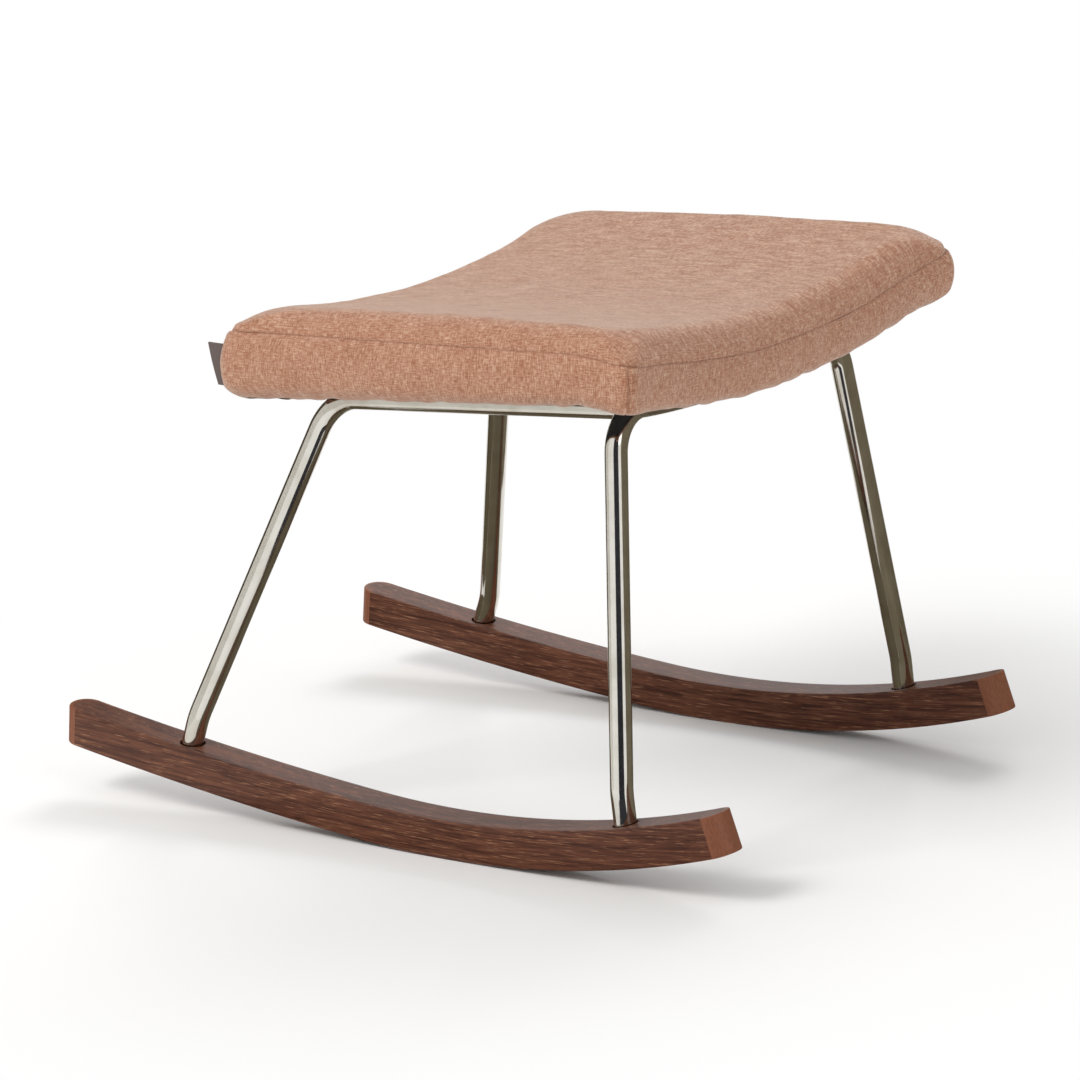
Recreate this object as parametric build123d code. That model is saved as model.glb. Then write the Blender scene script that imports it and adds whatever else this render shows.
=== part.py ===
from build123d import *
from math import asin, atan, cos, sin
import os

# Rocking footstool, millimetres. X runs along the rockers with the front at +X, Y runs across
# with the left side at +Y, and Z is up. The origin is on the floor, under the middle of the stool.

# Rockers: a long gentle arc behind, a tighter arc in front, and half-round ends
ROCKER_LENGTH = 694.0
ROCKER_WIDTH = 30.0
ROCKER_THICKNESS = 32.5
ROCKER_SPACING = 388.0
ROCKER_FRONT_RADIUS = 950.0
ROCKER_REAR_RADIUS = 4300.0
REST_X = 65.0
REAR_ARC_START = 86.0

# Tube frame: the hoop is both front legs and the cross rail, each rear leg is also a side rail
TUBE_DIAMETER = 18.0
TUBE_WALL = 1.5
FRONT_BEND_RADIUS = 34.0
REAR_BEND_RADIUS = 43.0
FOOT_BEND_RADIUS = 60.0
FOOT_HEIGHT = 25.0
FRONT_FOOT_X = 246.0
REAR_FOOT_X = -213.0
FRONT_TOP_X = 226.0
FRONT_TOP_Y = 148.0
REAR_TOP_X = -92.5
REAR_TOP_Y = 111.0
SIDE_RAIL_FRONT_Y = 128.0
SIDE_RAIL_SAG = 0.3
CROSS_STRAIGHT = 6.0
REAR_CROSS_X = -48.0
RAIL_CLEARANCE = 0.1

# Leg sockets, plugs and bolts
SOCKET_DIAMETER = 21.2
SOCKET_DEPTH = 14.0
SOCKET_FLOOR = 8.5
PLUG_LENGTH = 22.0
BOLT_DIAMETER = 6.0
BOLT_CLEARANCE = 0.3
BOLT_HEAD_DIAMETER = 10.0
BOLT_HEAD_HEIGHT = 6.0
BOLT_REACH = 18.0
HEX_KEY = 5.0
HEX_DEPTH = 3.0
WASHER_DIAMETER = 14.0
WASHER_THICKNESS = 1.5
COUNTERBORE_DIAMETER = 16.0

# Seat: a tilted board, dished across its width, and a wedge-shaped pad over it
SEAT_BASE_Z = 350.8
SEAT_SLOPE = 0.0559
SEAT_REAR_X = -116.0
SEAT_FRONT_X = 292.5
SEAT_HALF_WIDTH = 219.0
DISH_RADIUS = 960.0
DISH_SIDE_RADIUS = 520.0
DISH_SIDE_START = 110.0
BOARD_INSET = 10.0
BOARD_THICKNESS = 9.0
BOARD_CORNER_RADIUS = 12.0
FABRIC = 1.6
DUST_COVER = 0.8
CLOTH_CLEARANCE = 0.1
HEM_DEPTH = 14.0
EDGE_LIP = 8.3
SEAM_Z = 392.3
SEAM_SLOPE = 0.0149
TOP_Z = 409.7
TOP_SLOPE = 0.013
TOP_DISH_RADIUS = 830.0
TOP_CROWN = 2.5
PAD_EDGE_RADIUS = 14.0
CORNER_DROOP = 8.0
DROOP_LENGTH = 60.0
BAND_LEAN = 0.115
MARGIN = 30.0

# Seat fixings
BRACKET_LENGTH = 30.0
BRACKET_WIDTH = 24.0
BRACKET_THICKNESS = 3.0
BRACKET_OVERLAP = 4.0
BRACKET_CORNER = 4.0
REAR_BRACKET_X = 5.0
FRONT_BRACKET_X = 165.0
SCREW_HEAD_DIAMETER = 11.0
SCREW_HEAD_HEIGHT = 3.3
SCREW_KEY = 4.0
TEE_NUT_FLANGE = 19.0
TEE_NUT_FLANGE_THICKNESS = 1.5
TEE_NUT_BARREL = 8.0
TEE_NUT_SUNK = 0.2
STAPLE_CROWN = 10.0
STAPLE_LEG = 6.0
STAPLE_WIRE = 1.0
STAPLES_ALONG = 6
STAPLES_ACROSS = 6
STAPLE_INSET = 7.0
STAPLE_CLEARANCE = 0.05

# Side tag: a bare folded ribbon in the rear right corner seam
TAG_HEIGHT = 34.0
TAG_REACH = 14.0
TAG_RIBBON = 0.7
TAG_GAP = 1.2
TAG_ABOVE_EDGE = 9.0
TAG_INSET = 4.5

SIDES = {"right": -1, "left": 1}
TUBE_RADIUS = TUBE_DIAMETER / 2
TUBE_DROP = TUBE_RADIUS + DUST_COVER + RAIL_CLEARANCE
SEAT_MIDDLE_X = (SEAT_REAR_X + SEAT_FRONT_X) / 2
SEAT_LENGTH = SEAT_FRONT_X - SEAT_REAR_X
BAND_DIRECTION = Vector(BAND_LEAN, 0, 1)


def mirrored(shape):
    """The same shape on the other side of the XZ plane."""
    return mirror(shape, about=Plane.XZ)


def biggest(shape):
    """The largest solid of a shape, without the offcuts."""
    return shape.solids().sort_by(SortBy.VOLUME)[-1]


# ---------------------------------------------------------------- rockers
def rocker_arc(x):
    """Centre (x, z), radius and angle from the vertical of the underside's arc below x."""
    turn = asin(REAR_ARC_START / ROCKER_FRONT_RADIUS)
    if x >= REST_X - REAR_ARC_START:
        angle = asin((x - REST_X) / ROCKER_FRONT_RADIUS)
        return REST_X, ROCKER_FRONT_RADIUS, ROCKER_FRONT_RADIUS, angle
    grow = ROCKER_REAR_RADIUS - ROCKER_FRONT_RADIUS
    centre_x = REST_X + grow * sin(turn)
    centre_z = ROCKER_FRONT_RADIUS + grow * cos(turn)
    return centre_x, centre_z, ROCKER_REAR_RADIUS, asin((x - centre_x) / ROCKER_REAR_RADIUS)


def rocker_point(x, rise=0.0):
    """The point (x, z) that stands rise above the underside, square to it, at station x."""
    centre_x, centre_z, radius, angle = rocker_arc(x)
    reach = radius - rise
    return (centre_x + reach * sin(angle), centre_z - reach * cos(angle))


def arc_over(start, end, rise):
    """An arc at the given height over the underside, from station to station."""
    middle = (start + end) / 2
    return ThreePointArc(rocker_point(start, rise), rocker_point(middle, rise), rocker_point(end, rise))


def rocker_blade():
    """The curved blade with square ends, centred on Y = 0."""
    rear, front = -ROCKER_LENGTH / 2, ROCKER_LENGTH / 2
    joint = REST_X - REAR_ARC_START
    top = ROCKER_THICKNESS
    outline = Curve() + [
        arc_over(rear, joint, 0),
        arc_over(joint, front, 0),
        Line(rocker_point(front), rocker_point(front, top)),
        arc_over(front, joint, top),
        arc_over(joint, rear, top),
        Line(rocker_point(rear, top), rocker_point(rear)),
    ]
    return extrude(Plane.XZ * make_face(outline), ROCKER_WIDTH / 2, both=True)


def nose_cutter(end):
    """What comes off the blade's front (1) or rear (-1) end to leave it half round."""
    nose = ROCKER_WIDTH / 2
    station = end * (ROCKER_LENGTH / 2 - nose)
    x, z = rocker_point(station)
    angle = rocker_arc(station)[3]
    square_to_arc = Plane(origin=(x, 0, z), x_dir=(end * cos(angle), 0, end * sin(angle)),
                          z_dir=(-sin(angle), 0, cos(angle)))
    tall = 4 * ROCKER_THICKNESS
    block = Box(4 * nose, 4 * nose, tall, align=(Align.MIN, Align.CENTER, Align.CENTER))
    return square_to_arc.location * (block - Cylinder(nose, tall))


def leg_socket(foot):
    """The socket, bolt hole and counterbore of one leg, as one cutter."""
    deep = 3 * ROCKER_THICKNESS
    mouth = hanging_bar(foot, -SOCKET_DEPTH, SOCKET_DIAMETER / 2, 2 * SOCKET_DEPTH)
    hole = hanging_bar(foot, 0, BOLT_DIAMETER / 2 + BOLT_CLEARANCE, deep)
    counterbore = hanging_bar(foot, SOCKET_DEPTH + SOCKET_FLOOR, COUNTERBORE_DIAMETER / 2, deep)
    return mouth + hole + counterbore


def make_rocker(side):
    blade = rocker_blade() - nose_cutter(1) - nose_cutter(-1)
    blade = Pos(0, side * ROCKER_SPACING / 2, 0) * blade
    for leg in LEGS:
        blade -= leg_socket(foot_plane(leg, side))
    return blade


# ---------------------------------------------------------------- the seat's dish
def sloped_plane(base_z, slope):
    """A plane that climbs towards the front, through the point (0, 0, base_z)."""
    angle = atan(slope)
    return Plane(origin=(0, 0, base_z), x_dir=(cos(angle), 0, sin(angle)), z_dir=(-sin(angle), 0, cos(angle)))


SEAT_PLANE = sloped_plane(SEAT_BASE_Z, SEAT_SLOPE)
SEAM_PLANE = sloped_plane(SEAM_Z, SEAM_SLOPE)


def dish_side_start(drop):
    """Where the tighter side arcs of the dish begin, on a curve drop below the underside."""
    return (DISH_RADIUS + drop) * DISH_SIDE_START / DISH_RADIUS


def dish_point(y, drop=0.0):
    """The point (y, z) of the dish's section, or of the curve that runs drop below it."""
    turn = asin(DISH_SIDE_START / DISH_RADIUS)
    radius, centre_y, centre_z = DISH_RADIUS, 0.0, DISH_RADIUS
    if abs(y) > dish_side_start(drop):
        shrink = DISH_RADIUS - DISH_SIDE_RADIUS
        radius, centre_y, centre_z = DISH_SIDE_RADIUS, shrink * sin(turn), DISH_RADIUS - shrink * cos(turn)
    reach = radius + drop
    return (y, centre_z - reach * cos(asin((abs(y) - centre_y) / reach)))


def under_seat(x, y, drop):
    """The point in space that lies drop below the board's underside, at x and y of the seat's plane."""
    return SEAT_PLANE.from_local_coords(Vector(x, *dish_point(y, drop)))


def dish_tangent_plane(x, y, drop):
    """A plane that touches the curve drop below the underside, its Z square to the dish."""
    step = 0.5
    across = (under_seat(x, y + step, drop) - under_seat(x, y - step, drop)).normalized()
    along = SEAT_PLANE.x_dir
    return Plane(origin=under_seat(x, y, drop), x_dir=along, z_dir=along.cross(across))


def dish_edges(half_width, drop):
    """Three tangent arcs across the dish, drop below the underside, from -Y to +Y."""
    start = dish_side_start(drop)
    between = (start + half_width) / 2
    ys = (-half_width, -between, -start, 0, start, between, half_width)
    points = [dish_point(y, drop) for y in ys]
    return [ThreePointArc(*points[i:i + 3]) for i in (0, 2, 4)]


def dished_slab(plane, drop, rise):
    """A slab wider than the seat that follows the dish, from drop under to rise over it."""
    half_width = SEAT_HALF_WIDTH + MARGIN
    low = dish_edges(half_width, drop)
    high = dish_edges(half_width, -rise)
    ends = [Line(low[0] @ 0, high[0] @ 0), Line(low[2] @ 1, high[2] @ 1)]
    section = Plane.YZ * make_face(Curve() + low + high + ends)
    slab = extrude(section, SEAT_LENGTH / 2 + MARGIN, both=True)
    return plane.location * Pos(SEAT_MIDDLE_X, 0, 0) * slab


# ---------------------------------------------------------------- tube frame
def leg(foot_x, top_x, top_y):
    return {"foot_x": foot_x, "top": under_seat(top_x, top_y, TUBE_DROP)}


FRONT_LEG = leg(FRONT_FOOT_X, FRONT_TOP_X, FRONT_TOP_Y)
REAR_LEG = leg(REAR_FOOT_X, REAR_TOP_X, REAR_TOP_Y)
LEGS = (FRONT_LEG, REAR_LEG)


def foot_plane(leg, side):
    """A plane on the rocker's top at the leg's socket, its Z up the foot of the tube."""
    x, z = rocker_point(leg["foot_x"], ROCKER_THICKNESS)
    lean = Vector(leg["top"].X - x, 0, leg["top"].Z - z).normalized()
    return Plane(origin=(x, side * ROCKER_SPACING / 2, z), x_dir=(lean.Z, 0, -lean.X), z_dir=lean)


def foot_planes():
    return [foot_plane(leg, side) for leg in LEGS for side in SIDES.values()]


def hanging_bar(plane, depth, radius, length):
    """A round bar along the plane's Z, its top end depth below the plane."""
    bar = Cylinder(radius, length, align=(Align.CENTER, Align.CENTER, Align.MAX))
    return plane.location * Pos(0, 0, -depth) * bar


def leg_points(leg, side):
    """The tube's end in its socket, the bend above the rocker and the corner under the seat."""
    foot = foot_plane(leg, side)
    end = foot.from_local_coords(Vector(0, 0, -SOCKET_DEPTH))
    bend = foot.from_local_coords(Vector(0, 0, FOOT_HEIGHT))
    return [end, bend, Vector(leg["top"].X, side * leg["top"].Y, leg["top"].Z)]


def bar(path, radius):
    """A round bar along the path."""
    return sweep(Plane(origin=path @ 0, z_dir=path % 0) * Circle(radius), path=path)


def tube(path):
    return bar(path, TUBE_RADIUS) - bar(path, TUBE_RADIUS - TUBE_WALL)


def cross_arc(x, half_width):
    """A cross rail's centre line, an arc under the dish."""
    return ThreePointArc(*[under_seat(x, y, TUBE_DROP) for y in (-half_width, 0, half_width)])


def hoop_path():
    """One line up the right leg, across under the seat and down the left leg."""
    across = cross_arc(FRONT_TOP_X, FRONT_TOP_Y - FRONT_BEND_RADIUS - CROSS_STRAIGHT)
    start, heading = across @ 0, across % 0
    end, bend, top = leg_points(FRONT_LEG, SIDES["right"])
    corner = start - heading * ((start.Y - top.Y) / heading.Y)
    right = FilletPolyline(end, bend, corner, start, radius=(FOOT_BEND_RADIUS, FRONT_BEND_RADIUS))
    return Wire(right.edges() + across.edges() + mirrored(right).edges())


def side_rail_path(side):
    """Up the rear leg and forward under the seat to the hoop."""
    front = under_seat(FRONT_TOP_X, side * SIDE_RAIL_FRONT_Y, TUBE_DROP + SIDE_RAIL_SAG)
    end, bend, top = leg_points(REAR_LEG, side)
    top = top - Vector(0, 0, SIDE_RAIL_SAG)
    return FilletPolyline(end, bend, top, front, radius=(FOOT_BEND_RADIUS, REAR_BEND_RADIUS))


def side_rail_y(x):
    """How far from the middle a side rail runs at station x."""
    share = (x - REAR_TOP_X) / (FRONT_TOP_X - REAR_TOP_X)
    return REAR_TOP_Y + share * (SIDE_RAIL_FRONT_Y - REAR_TOP_Y)


def make_rear_leg(side, hoop_bar):
    """A rear leg and its side rail, coped to the back of the hoop."""
    return biggest(tube(side_rail_path(side)) - hoop_bar)


def make_rear_cross_rail(side_bars):
    """The rail between the rear bends, coped to both side rails."""
    return biggest(tube(cross_arc(REAR_CROSS_X, side_rail_y(REAR_CROSS_X))) - side_bars)


# ---------------------------------------------------------------- leg fixings
def make_plugs():
    plug = Cylinder(TUBE_RADIUS - TUBE_WALL, PLUG_LENGTH) - Cylinder(BOLT_DIAMETER / 2, PLUG_LENGTH)
    return [foot.location * Pos(0, 0, PLUG_LENGTH / 2 - SOCKET_DEPTH) * plug for foot in foot_planes()]


def make_washers():
    ring = Cylinder(WASHER_DIAMETER / 2, WASHER_THICKNESS)
    ring -= Cylinder(BOLT_DIAMETER / 2 + BOLT_CLEARANCE, WASHER_THICKNESS)
    depth = SOCKET_DEPTH + SOCKET_FLOOR + WASHER_THICKNESS / 2
    return [foot.location * Pos(0, 0, -depth) * ring for foot in foot_planes()]


def hex_socket(key, depth):
    return extrude(RegularPolygon(key / 2, 6, major_radius=False), depth)


def make_bolts():
    """Socket-head bolts, from the washers up into the plugs."""
    head_depth = SOCKET_DEPTH + SOCKET_FLOOR + WASHER_THICKNESS
    shank_length = head_depth - SOCKET_DEPTH + BOLT_REACH
    head = Cylinder(BOLT_HEAD_DIAMETER / 2, BOLT_HEAD_HEIGHT, align=(Align.CENTER, Align.CENTER, Align.MAX))
    head -= Pos(0, 0, -BOLT_HEAD_HEIGHT) * hex_socket(HEX_KEY, HEX_DEPTH)
    shank = Cylinder(BOLT_DIAMETER / 2, shank_length, align=(Align.CENTER, Align.CENTER, Align.MIN))
    return [foot.location * Pos(0, 0, -head_depth) * (head + shank) for foot in foot_planes()]


# ---------------------------------------------------------------- seat fixings
def bracket_planes():
    """Planes under the dust cover where the tabs lie, in from the side rails."""
    planes = []
    for x in (REAR_BRACKET_X, FRONT_BRACKET_X):
        y = side_rail_y(x) + BRACKET_OVERLAP - TUBE_RADIUS - BRACKET_WIDTH / 2
        for side in SIDES.values():
            planes.append(dish_tangent_plane(x, side * y, DUST_COVER + RAIL_CLEARANCE))
    return planes


def make_brackets(side_bars):
    """Flat tabs welded to the side rails, each with a screw hole."""
    low = (Align.CENTER, Align.CENTER, Align.MAX)
    tab = Box(BRACKET_LENGTH, BRACKET_WIDTH, BRACKET_THICKNESS, align=low)
    tab = fillet(tab.edges().filter_by(Axis.Z), BRACKET_CORNER)
    tab -= Cylinder(BOLT_DIAMETER / 2 + BOLT_CLEARANCE, BRACKET_THICKNESS, align=low)
    return [biggest(plane.location * tab - side_bars) for plane in bracket_planes()]


def make_screws():
    """Button-head screws, up through the tabs to the top of the tee nuts."""
    low = (Align.CENTER, Align.CENTER, Align.MAX)
    length = BRACKET_THICKNESS + RAIL_CLEARANCE + DUST_COVER + BOARD_THICKNESS
    head = Cylinder(SCREW_HEAD_DIAMETER / 2, SCREW_HEAD_HEIGHT, align=low)
    head = fillet(head.edges().sort_by(Axis.Z)[0], SCREW_HEAD_HEIGHT / 2)
    head -= Pos(0, 0, -SCREW_HEAD_HEIGHT) * hex_socket(SCREW_KEY, SCREW_HEAD_HEIGHT / 2)
    shank = Cylinder(BOLT_DIAMETER / 2, length, align=(Align.CENTER, Align.CENTER, Align.MIN))
    screw = Pos(0, 0, -BRACKET_THICKNESS) * (head + shank)
    return [plane.location * screw for plane in bracket_planes()]


def make_tee_nuts():
    """Flange and barrel of each nut, the flange sunk into the board's top."""
    high = (Align.CENTER, Align.CENTER, Align.MAX)
    top = RAIL_CLEARANCE + DUST_COVER + BOARD_THICKNESS - TEE_NUT_SUNK
    nut = Cylinder(TEE_NUT_FLANGE / 2, TEE_NUT_FLANGE_THICKNESS, align=high)
    nut += Cylinder(TEE_NUT_BARREL / 2, BOARD_THICKNESS - 2 * TEE_NUT_SUNK, align=high)
    nut -= Cylinder(BOLT_DIAMETER / 2, BOARD_THICKNESS, align=high)
    return [plane.location * Pos(0, 0, top) * nut for plane in bracket_planes()]


def tee_nut_holes():
    """Stepped holes through the board, open at its top, one for each tee nut."""
    flange_seat = RAIL_CLEARANCE + DUST_COVER + BOARD_THICKNESS - TEE_NUT_SUNK - TEE_NUT_FLANGE_THICKNESS
    hole = Cylinder(TEE_NUT_BARREL / 2, 4 * BOARD_THICKNESS)
    recess = Cylinder(TEE_NUT_FLANGE / 2, BOARD_THICKNESS, align=(Align.CENTER, Align.CENTER, Align.MIN))
    return [plane.location * (hole + Pos(0, 0, flange_seat) * recess) for plane in bracket_planes()]


def screw_holes():
    hole = Cylinder(BOLT_DIAMETER / 2 + BOLT_CLEARANCE, 2 * BOARD_THICKNESS)
    return [plane.location * hole for plane in bracket_planes()]


def staple_places():
    """Planes under the hem along each edge of the board, with X along the staple."""
    inset = BOARD_INSET + STAPLE_INSET
    half_length = SEAT_LENGTH / 2 - inset
    half_width = SEAT_HALF_WIDTH - inset
    drop = FABRIC + DUST_COVER + STAPLE_CLEARANCE
    places = []
    for side in (-1, 1):
        for i in range(STAPLES_ALONG):
            x = SEAT_MIDDLE_X + half_length * (2 * i + 1 - STAPLES_ALONG) / STAPLES_ALONG
            places.append(dish_tangent_plane(x, side * half_width, drop).location)
        for i in range(STAPLES_ACROSS):
            y = half_width * (2 * i + 1 - STAPLES_ACROSS) / STAPLES_ACROSS
            place = dish_tangent_plane(SEAT_MIDDLE_X + side * half_length, y, drop)
            places.append(place.location * Rot(0, 0, 90))
    return places


def staple_pins():
    """The two legs of one staple, up from its crown."""
    pin = Box(STAPLE_WIRE, STAPLE_WIRE, STAPLE_LEG, align=(Align.CENTER, Align.CENTER, Align.MIN))
    reach = (STAPLE_CROWN - STAPLE_WIRE) / 2
    return [Pos(end * reach, 0, 0) * pin for end in (-1, 1)]


def make_staples():
    """Wire staples under the hem, their legs up into the board."""
    wire = Box(STAPLE_CROWN, STAPLE_WIRE, STAPLE_WIRE, align=(Align.CENTER, Align.CENTER, Align.MAX))
    for pin in staple_pins():
        wire += pin
    return [place * wire for place in staple_places()]


def staple_holes():
    return [place * pin for place in staple_places() for pin in staple_pins()]


# ---------------------------------------------------------------- the pad and its cover
def pad_top(skin):
    """Everything below the pad's crowned top, a skin's thickness under the cover's own top."""
    half = SEAT_HALF_WIDTH + MARGIN
    low = SEAT_BASE_Z - 2 * MARGIN
    stations = (SEAT_REAR_X - MARGIN, SEAT_REAR_X + DROOP_LENGTH, SEAT_MIDDLE_X,
                SEAT_FRONT_X - DROOP_LENGTH, SEAT_FRONT_X + MARGIN)
    sections = []
    for x in stations:
        off_middle = abs(x - SEAT_MIDDLE_X) / (SEAT_LENGTH / 2)
        droop = CORNER_DROOP if off_middle > 1 else 0
        middle = TOP_Z - skin + TOP_SLOPE * x + TOP_CROWN * (1 - off_middle ** 2)
        edge = middle + half ** 2 / (2 * TOP_DISH_RADIUS) - droop
        arc = ThreePointArc((-half, edge), (0, middle), (half, edge))
        sides = Polyline((half, edge), (half, low), (-half, low), (-half, edge))
        sections.append(Plane.YZ.offset(x) * make_face(arc + sides))
    return loft(sections)


def pad_body(skin):
    """The whole pad, a skin's thickness inside the cover: dished below, crowned above."""
    along = SEAT_PLANE.x_dir * (SEAT_LENGTH - 2 * skin)
    up = BAND_DIRECTION * (TOP_Z + 2 * MARGIN - SEAT_BASE_Z)
    rear = SEAT_PLANE.location * Pos(SEAT_REAR_X + skin, 0, 0)
    body = Part()
    for edge in dish_edges(SEAT_HALF_WIDTH - skin, EDGE_LIP - skin):
        underside = Face.extrude((rear * (Plane.YZ * edge)).edge(), along)
        body += Solid.extrude(underside, up)
    body = body & pad_top(skin)
    rim = body.faces().sort_by(Axis.Z)[-1].outer_wire().edges()
    sides = body.faces().filter_by(GeomType.PLANE)
    lines = sides.edges().filter_by(GeomType.LINE)
    uprights = [line for line in lines if abs((line % 0.5).Z) > abs((line % 0.5).X)]
    return fillet(list(rim) + uprights, PAD_EDGE_RADIUS - skin)


def board_slab(inset, drop, rise):
    """A slab under or over the board's underside, set in from the board's own outline."""
    length = SEAT_LENGTH - 2 * (BOARD_INSET + inset)
    width = 2 * (SEAT_HALF_WIDTH - BOARD_INSET - inset)
    outline = RectangleRounded(length, width, BOARD_CORNER_RADIUS - min(inset, BOARD_CORNER_RADIUS / 2))
    column = extrude(outline, SEAT_LENGTH, both=True)
    return dished_slab(SEAT_PLANE, drop, rise) & (SEAT_PLANE.location * Pos(SEAT_MIDDLE_X, 0, 0) * column)


def make_foam(inner_pad):
    """The foam pad, with the recess in its underside that takes the board."""
    return inner_pad - board_slab(0, MARGIN, BOARD_THICKNESS)


def make_board():
    """The moulded board, with its tee nut holes and the slots that the staples cut."""
    return board_slab(0, 0, BOARD_THICKNESS) - (tee_nut_holes() + staple_holes())


def make_dust_cover():
    """Thin cloth that lies on the hem around its edge and steps up to the board inside it."""
    sheet = board_slab(2 * FABRIC, FABRIC + DUST_COVER, -FABRIC)
    sheet += board_slab(HEM_DEPTH, FABRIC + DUST_COVER, -CLOTH_CLEARANCE)
    sheet -= board_slab(HEM_DEPTH + DUST_COVER, MARGIN, -DUST_COVER)
    return sheet - (screw_holes() + staple_holes())


def band_wedge(start, end):
    """The share of the seat between two corners, seen from the middle, leaning like the bands."""
    corner_z = under_seat(0, SEAT_HALF_WIDTH, EDGE_LIP).Z
    share = make_face(Polyline((SEAT_MIDDLE_X, 0), start, end, close=True))
    face = Pos(0, 0, corner_z) * share
    below = Pos(*(BAND_DIRECTION * -2 * MARGIN)) * face
    return Solid.extrude(below.face(), BAND_DIRECTION * 5 * MARGIN)


def make_cover(outer_pad, inner_pad):
    """The cover's top panel and its four bands, sewn along one seam around and one at each corner."""
    cloth = outer_pad - inner_pad
    under = board_slab(0, MARGIN, 0) & outer_pad
    under -= board_slab(FABRIC, MARGIN, -FABRIC)
    under -= board_slab(HEM_DEPTH, MARGIN, 0)
    cloth = cloth - board_slab(0, MARGIN, 0) + under - staple_holes()
    above = dished_slab(SEAM_PLANE, 0, 2 * MARGIN)
    bands = cloth - above
    reach_x = SEAT_LENGTH
    reach_y = reach_x * SEAT_HALF_WIDTH / (SEAT_LENGTH / 2)
    corners = [(SEAT_MIDDLE_X + u * reach_x, v * reach_y) for u, v in ((1, -1), (1, 1), (-1, 1), (-1, -1))]
    pieces = {"cover_top_panel": cloth & above}
    for i, name in enumerate(("front", "left", "rear", "right")):
        pieces["cover_" + name + "_band"] = bands & band_wedge(corners[i], corners[(i + 1) % 4])
    return pieces


def make_tag(outer_pad):
    """A folded ribbon that stands out behind the rear right corner."""
    width = TAG_GAP + 2 * TAG_RIBBON
    loop = SlotOverall(2 * TAG_REACH, width) - SlotOverall(2 * (TAG_REACH - TAG_RIBBON), TAG_GAP)
    corner = under_seat(SEAT_REAR_X, -(SEAT_HALF_WIDTH - TAG_INSET), EDGE_LIP) + BAND_DIRECTION * TAG_ABOVE_EDGE
    ribbon = Solid.extrude((Pos(*corner) * loop).face(), BAND_DIRECTION * TAG_HEIGHT)
    return biggest(ribbon - outer_pad)


# ---------------------------------------------------------------- the whole stool
def make_parts():
    """Every piece by name; alike fasteners share one name."""
    hoop_bar = bar(hoop_path(), TUBE_RADIUS)
    side_bars = Part() + [bar(side_rail_path(side), TUBE_RADIUS) for side in SIDES.values()]
    outer_pad, inner_pad = pad_body(0), pad_body(FABRIC)
    parts = {
        "front_leg_hoop": tube(hoop_path()),
        "rear_cross_rail": make_rear_cross_rail(side_bars),
        "leg_end_plugs": make_plugs(),
        "rocker_washers": make_washers(),
        "rocker_bolts": make_bolts(),
        "seat_brackets": make_brackets(side_bars),
        "seat_screws": make_screws(),
        "tee_nuts": make_tee_nuts(),
        "cover_staples": make_staples(),
        "seat_board": make_board(),
        "dust_cover": make_dust_cover(),
        "seat_foam": make_foam(inner_pad),
        "side_tag": make_tag(outer_pad),
    }
    for name, side in SIDES.items():
        parts["rocker_" + name] = make_rocker(side)
        parts["rear_leg_" + name] = make_rear_leg(side, hoop_bar)
    parts.update(make_cover(outer_pad, inner_pad))
    return parts


os.makedirs("parts", exist_ok=True)
for name, shape in make_parts().items():
    export_step(Compound(children=shape) if isinstance(shape, list) else shape, f"parts/{name}.step")
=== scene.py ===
"""A rocking footstool: a dished, upholstered seat on a bent tube frame and two wooden rockers.

Lengths are in metres. +X runs along the rockers to the front, +Y to the stool's left and +Z up;
the floor is at Z = 0.
"""
import logging
import math
from dataclasses import dataclass
from enum import Enum
from typing import Any, NamedTuple, Optional, Sequence

import bmesh
import bpy
import numpy as np
from mathutils import Matrix, Vector


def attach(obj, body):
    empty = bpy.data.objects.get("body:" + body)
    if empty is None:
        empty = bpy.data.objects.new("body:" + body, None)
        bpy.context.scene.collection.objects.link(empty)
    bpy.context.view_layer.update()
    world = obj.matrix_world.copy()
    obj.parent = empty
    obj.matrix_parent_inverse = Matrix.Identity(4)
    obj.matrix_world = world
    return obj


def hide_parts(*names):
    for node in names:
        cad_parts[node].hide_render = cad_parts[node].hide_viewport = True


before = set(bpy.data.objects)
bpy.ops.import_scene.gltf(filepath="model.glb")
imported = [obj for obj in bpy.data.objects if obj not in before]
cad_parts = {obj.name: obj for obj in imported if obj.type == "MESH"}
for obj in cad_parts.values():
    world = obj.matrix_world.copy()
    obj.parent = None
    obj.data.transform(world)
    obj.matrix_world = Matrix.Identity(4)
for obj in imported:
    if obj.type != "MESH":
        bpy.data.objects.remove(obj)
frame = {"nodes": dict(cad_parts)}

LOG = logging.getLogger("footstool")
Array = np.ndarray
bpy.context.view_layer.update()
ROOT = "root"
TURN = 2 * math.pi
MERGE_DISTANCE = 1e-6


class Slot(str, Enum):
    """Names for the material slots; nothing in this script uses them."""

    WOOD = "walnut_wood"
    CHROME = "chromed_tube"
    COVER = "cover_cloth"
    DUST = "black_cloth"
    TAG = "tag_ribbon"


class Side(Enum):
    """Which side of the stool a piece is on, with its sign along Y."""

    RIGHT = -1
    LEFT = 1


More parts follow.
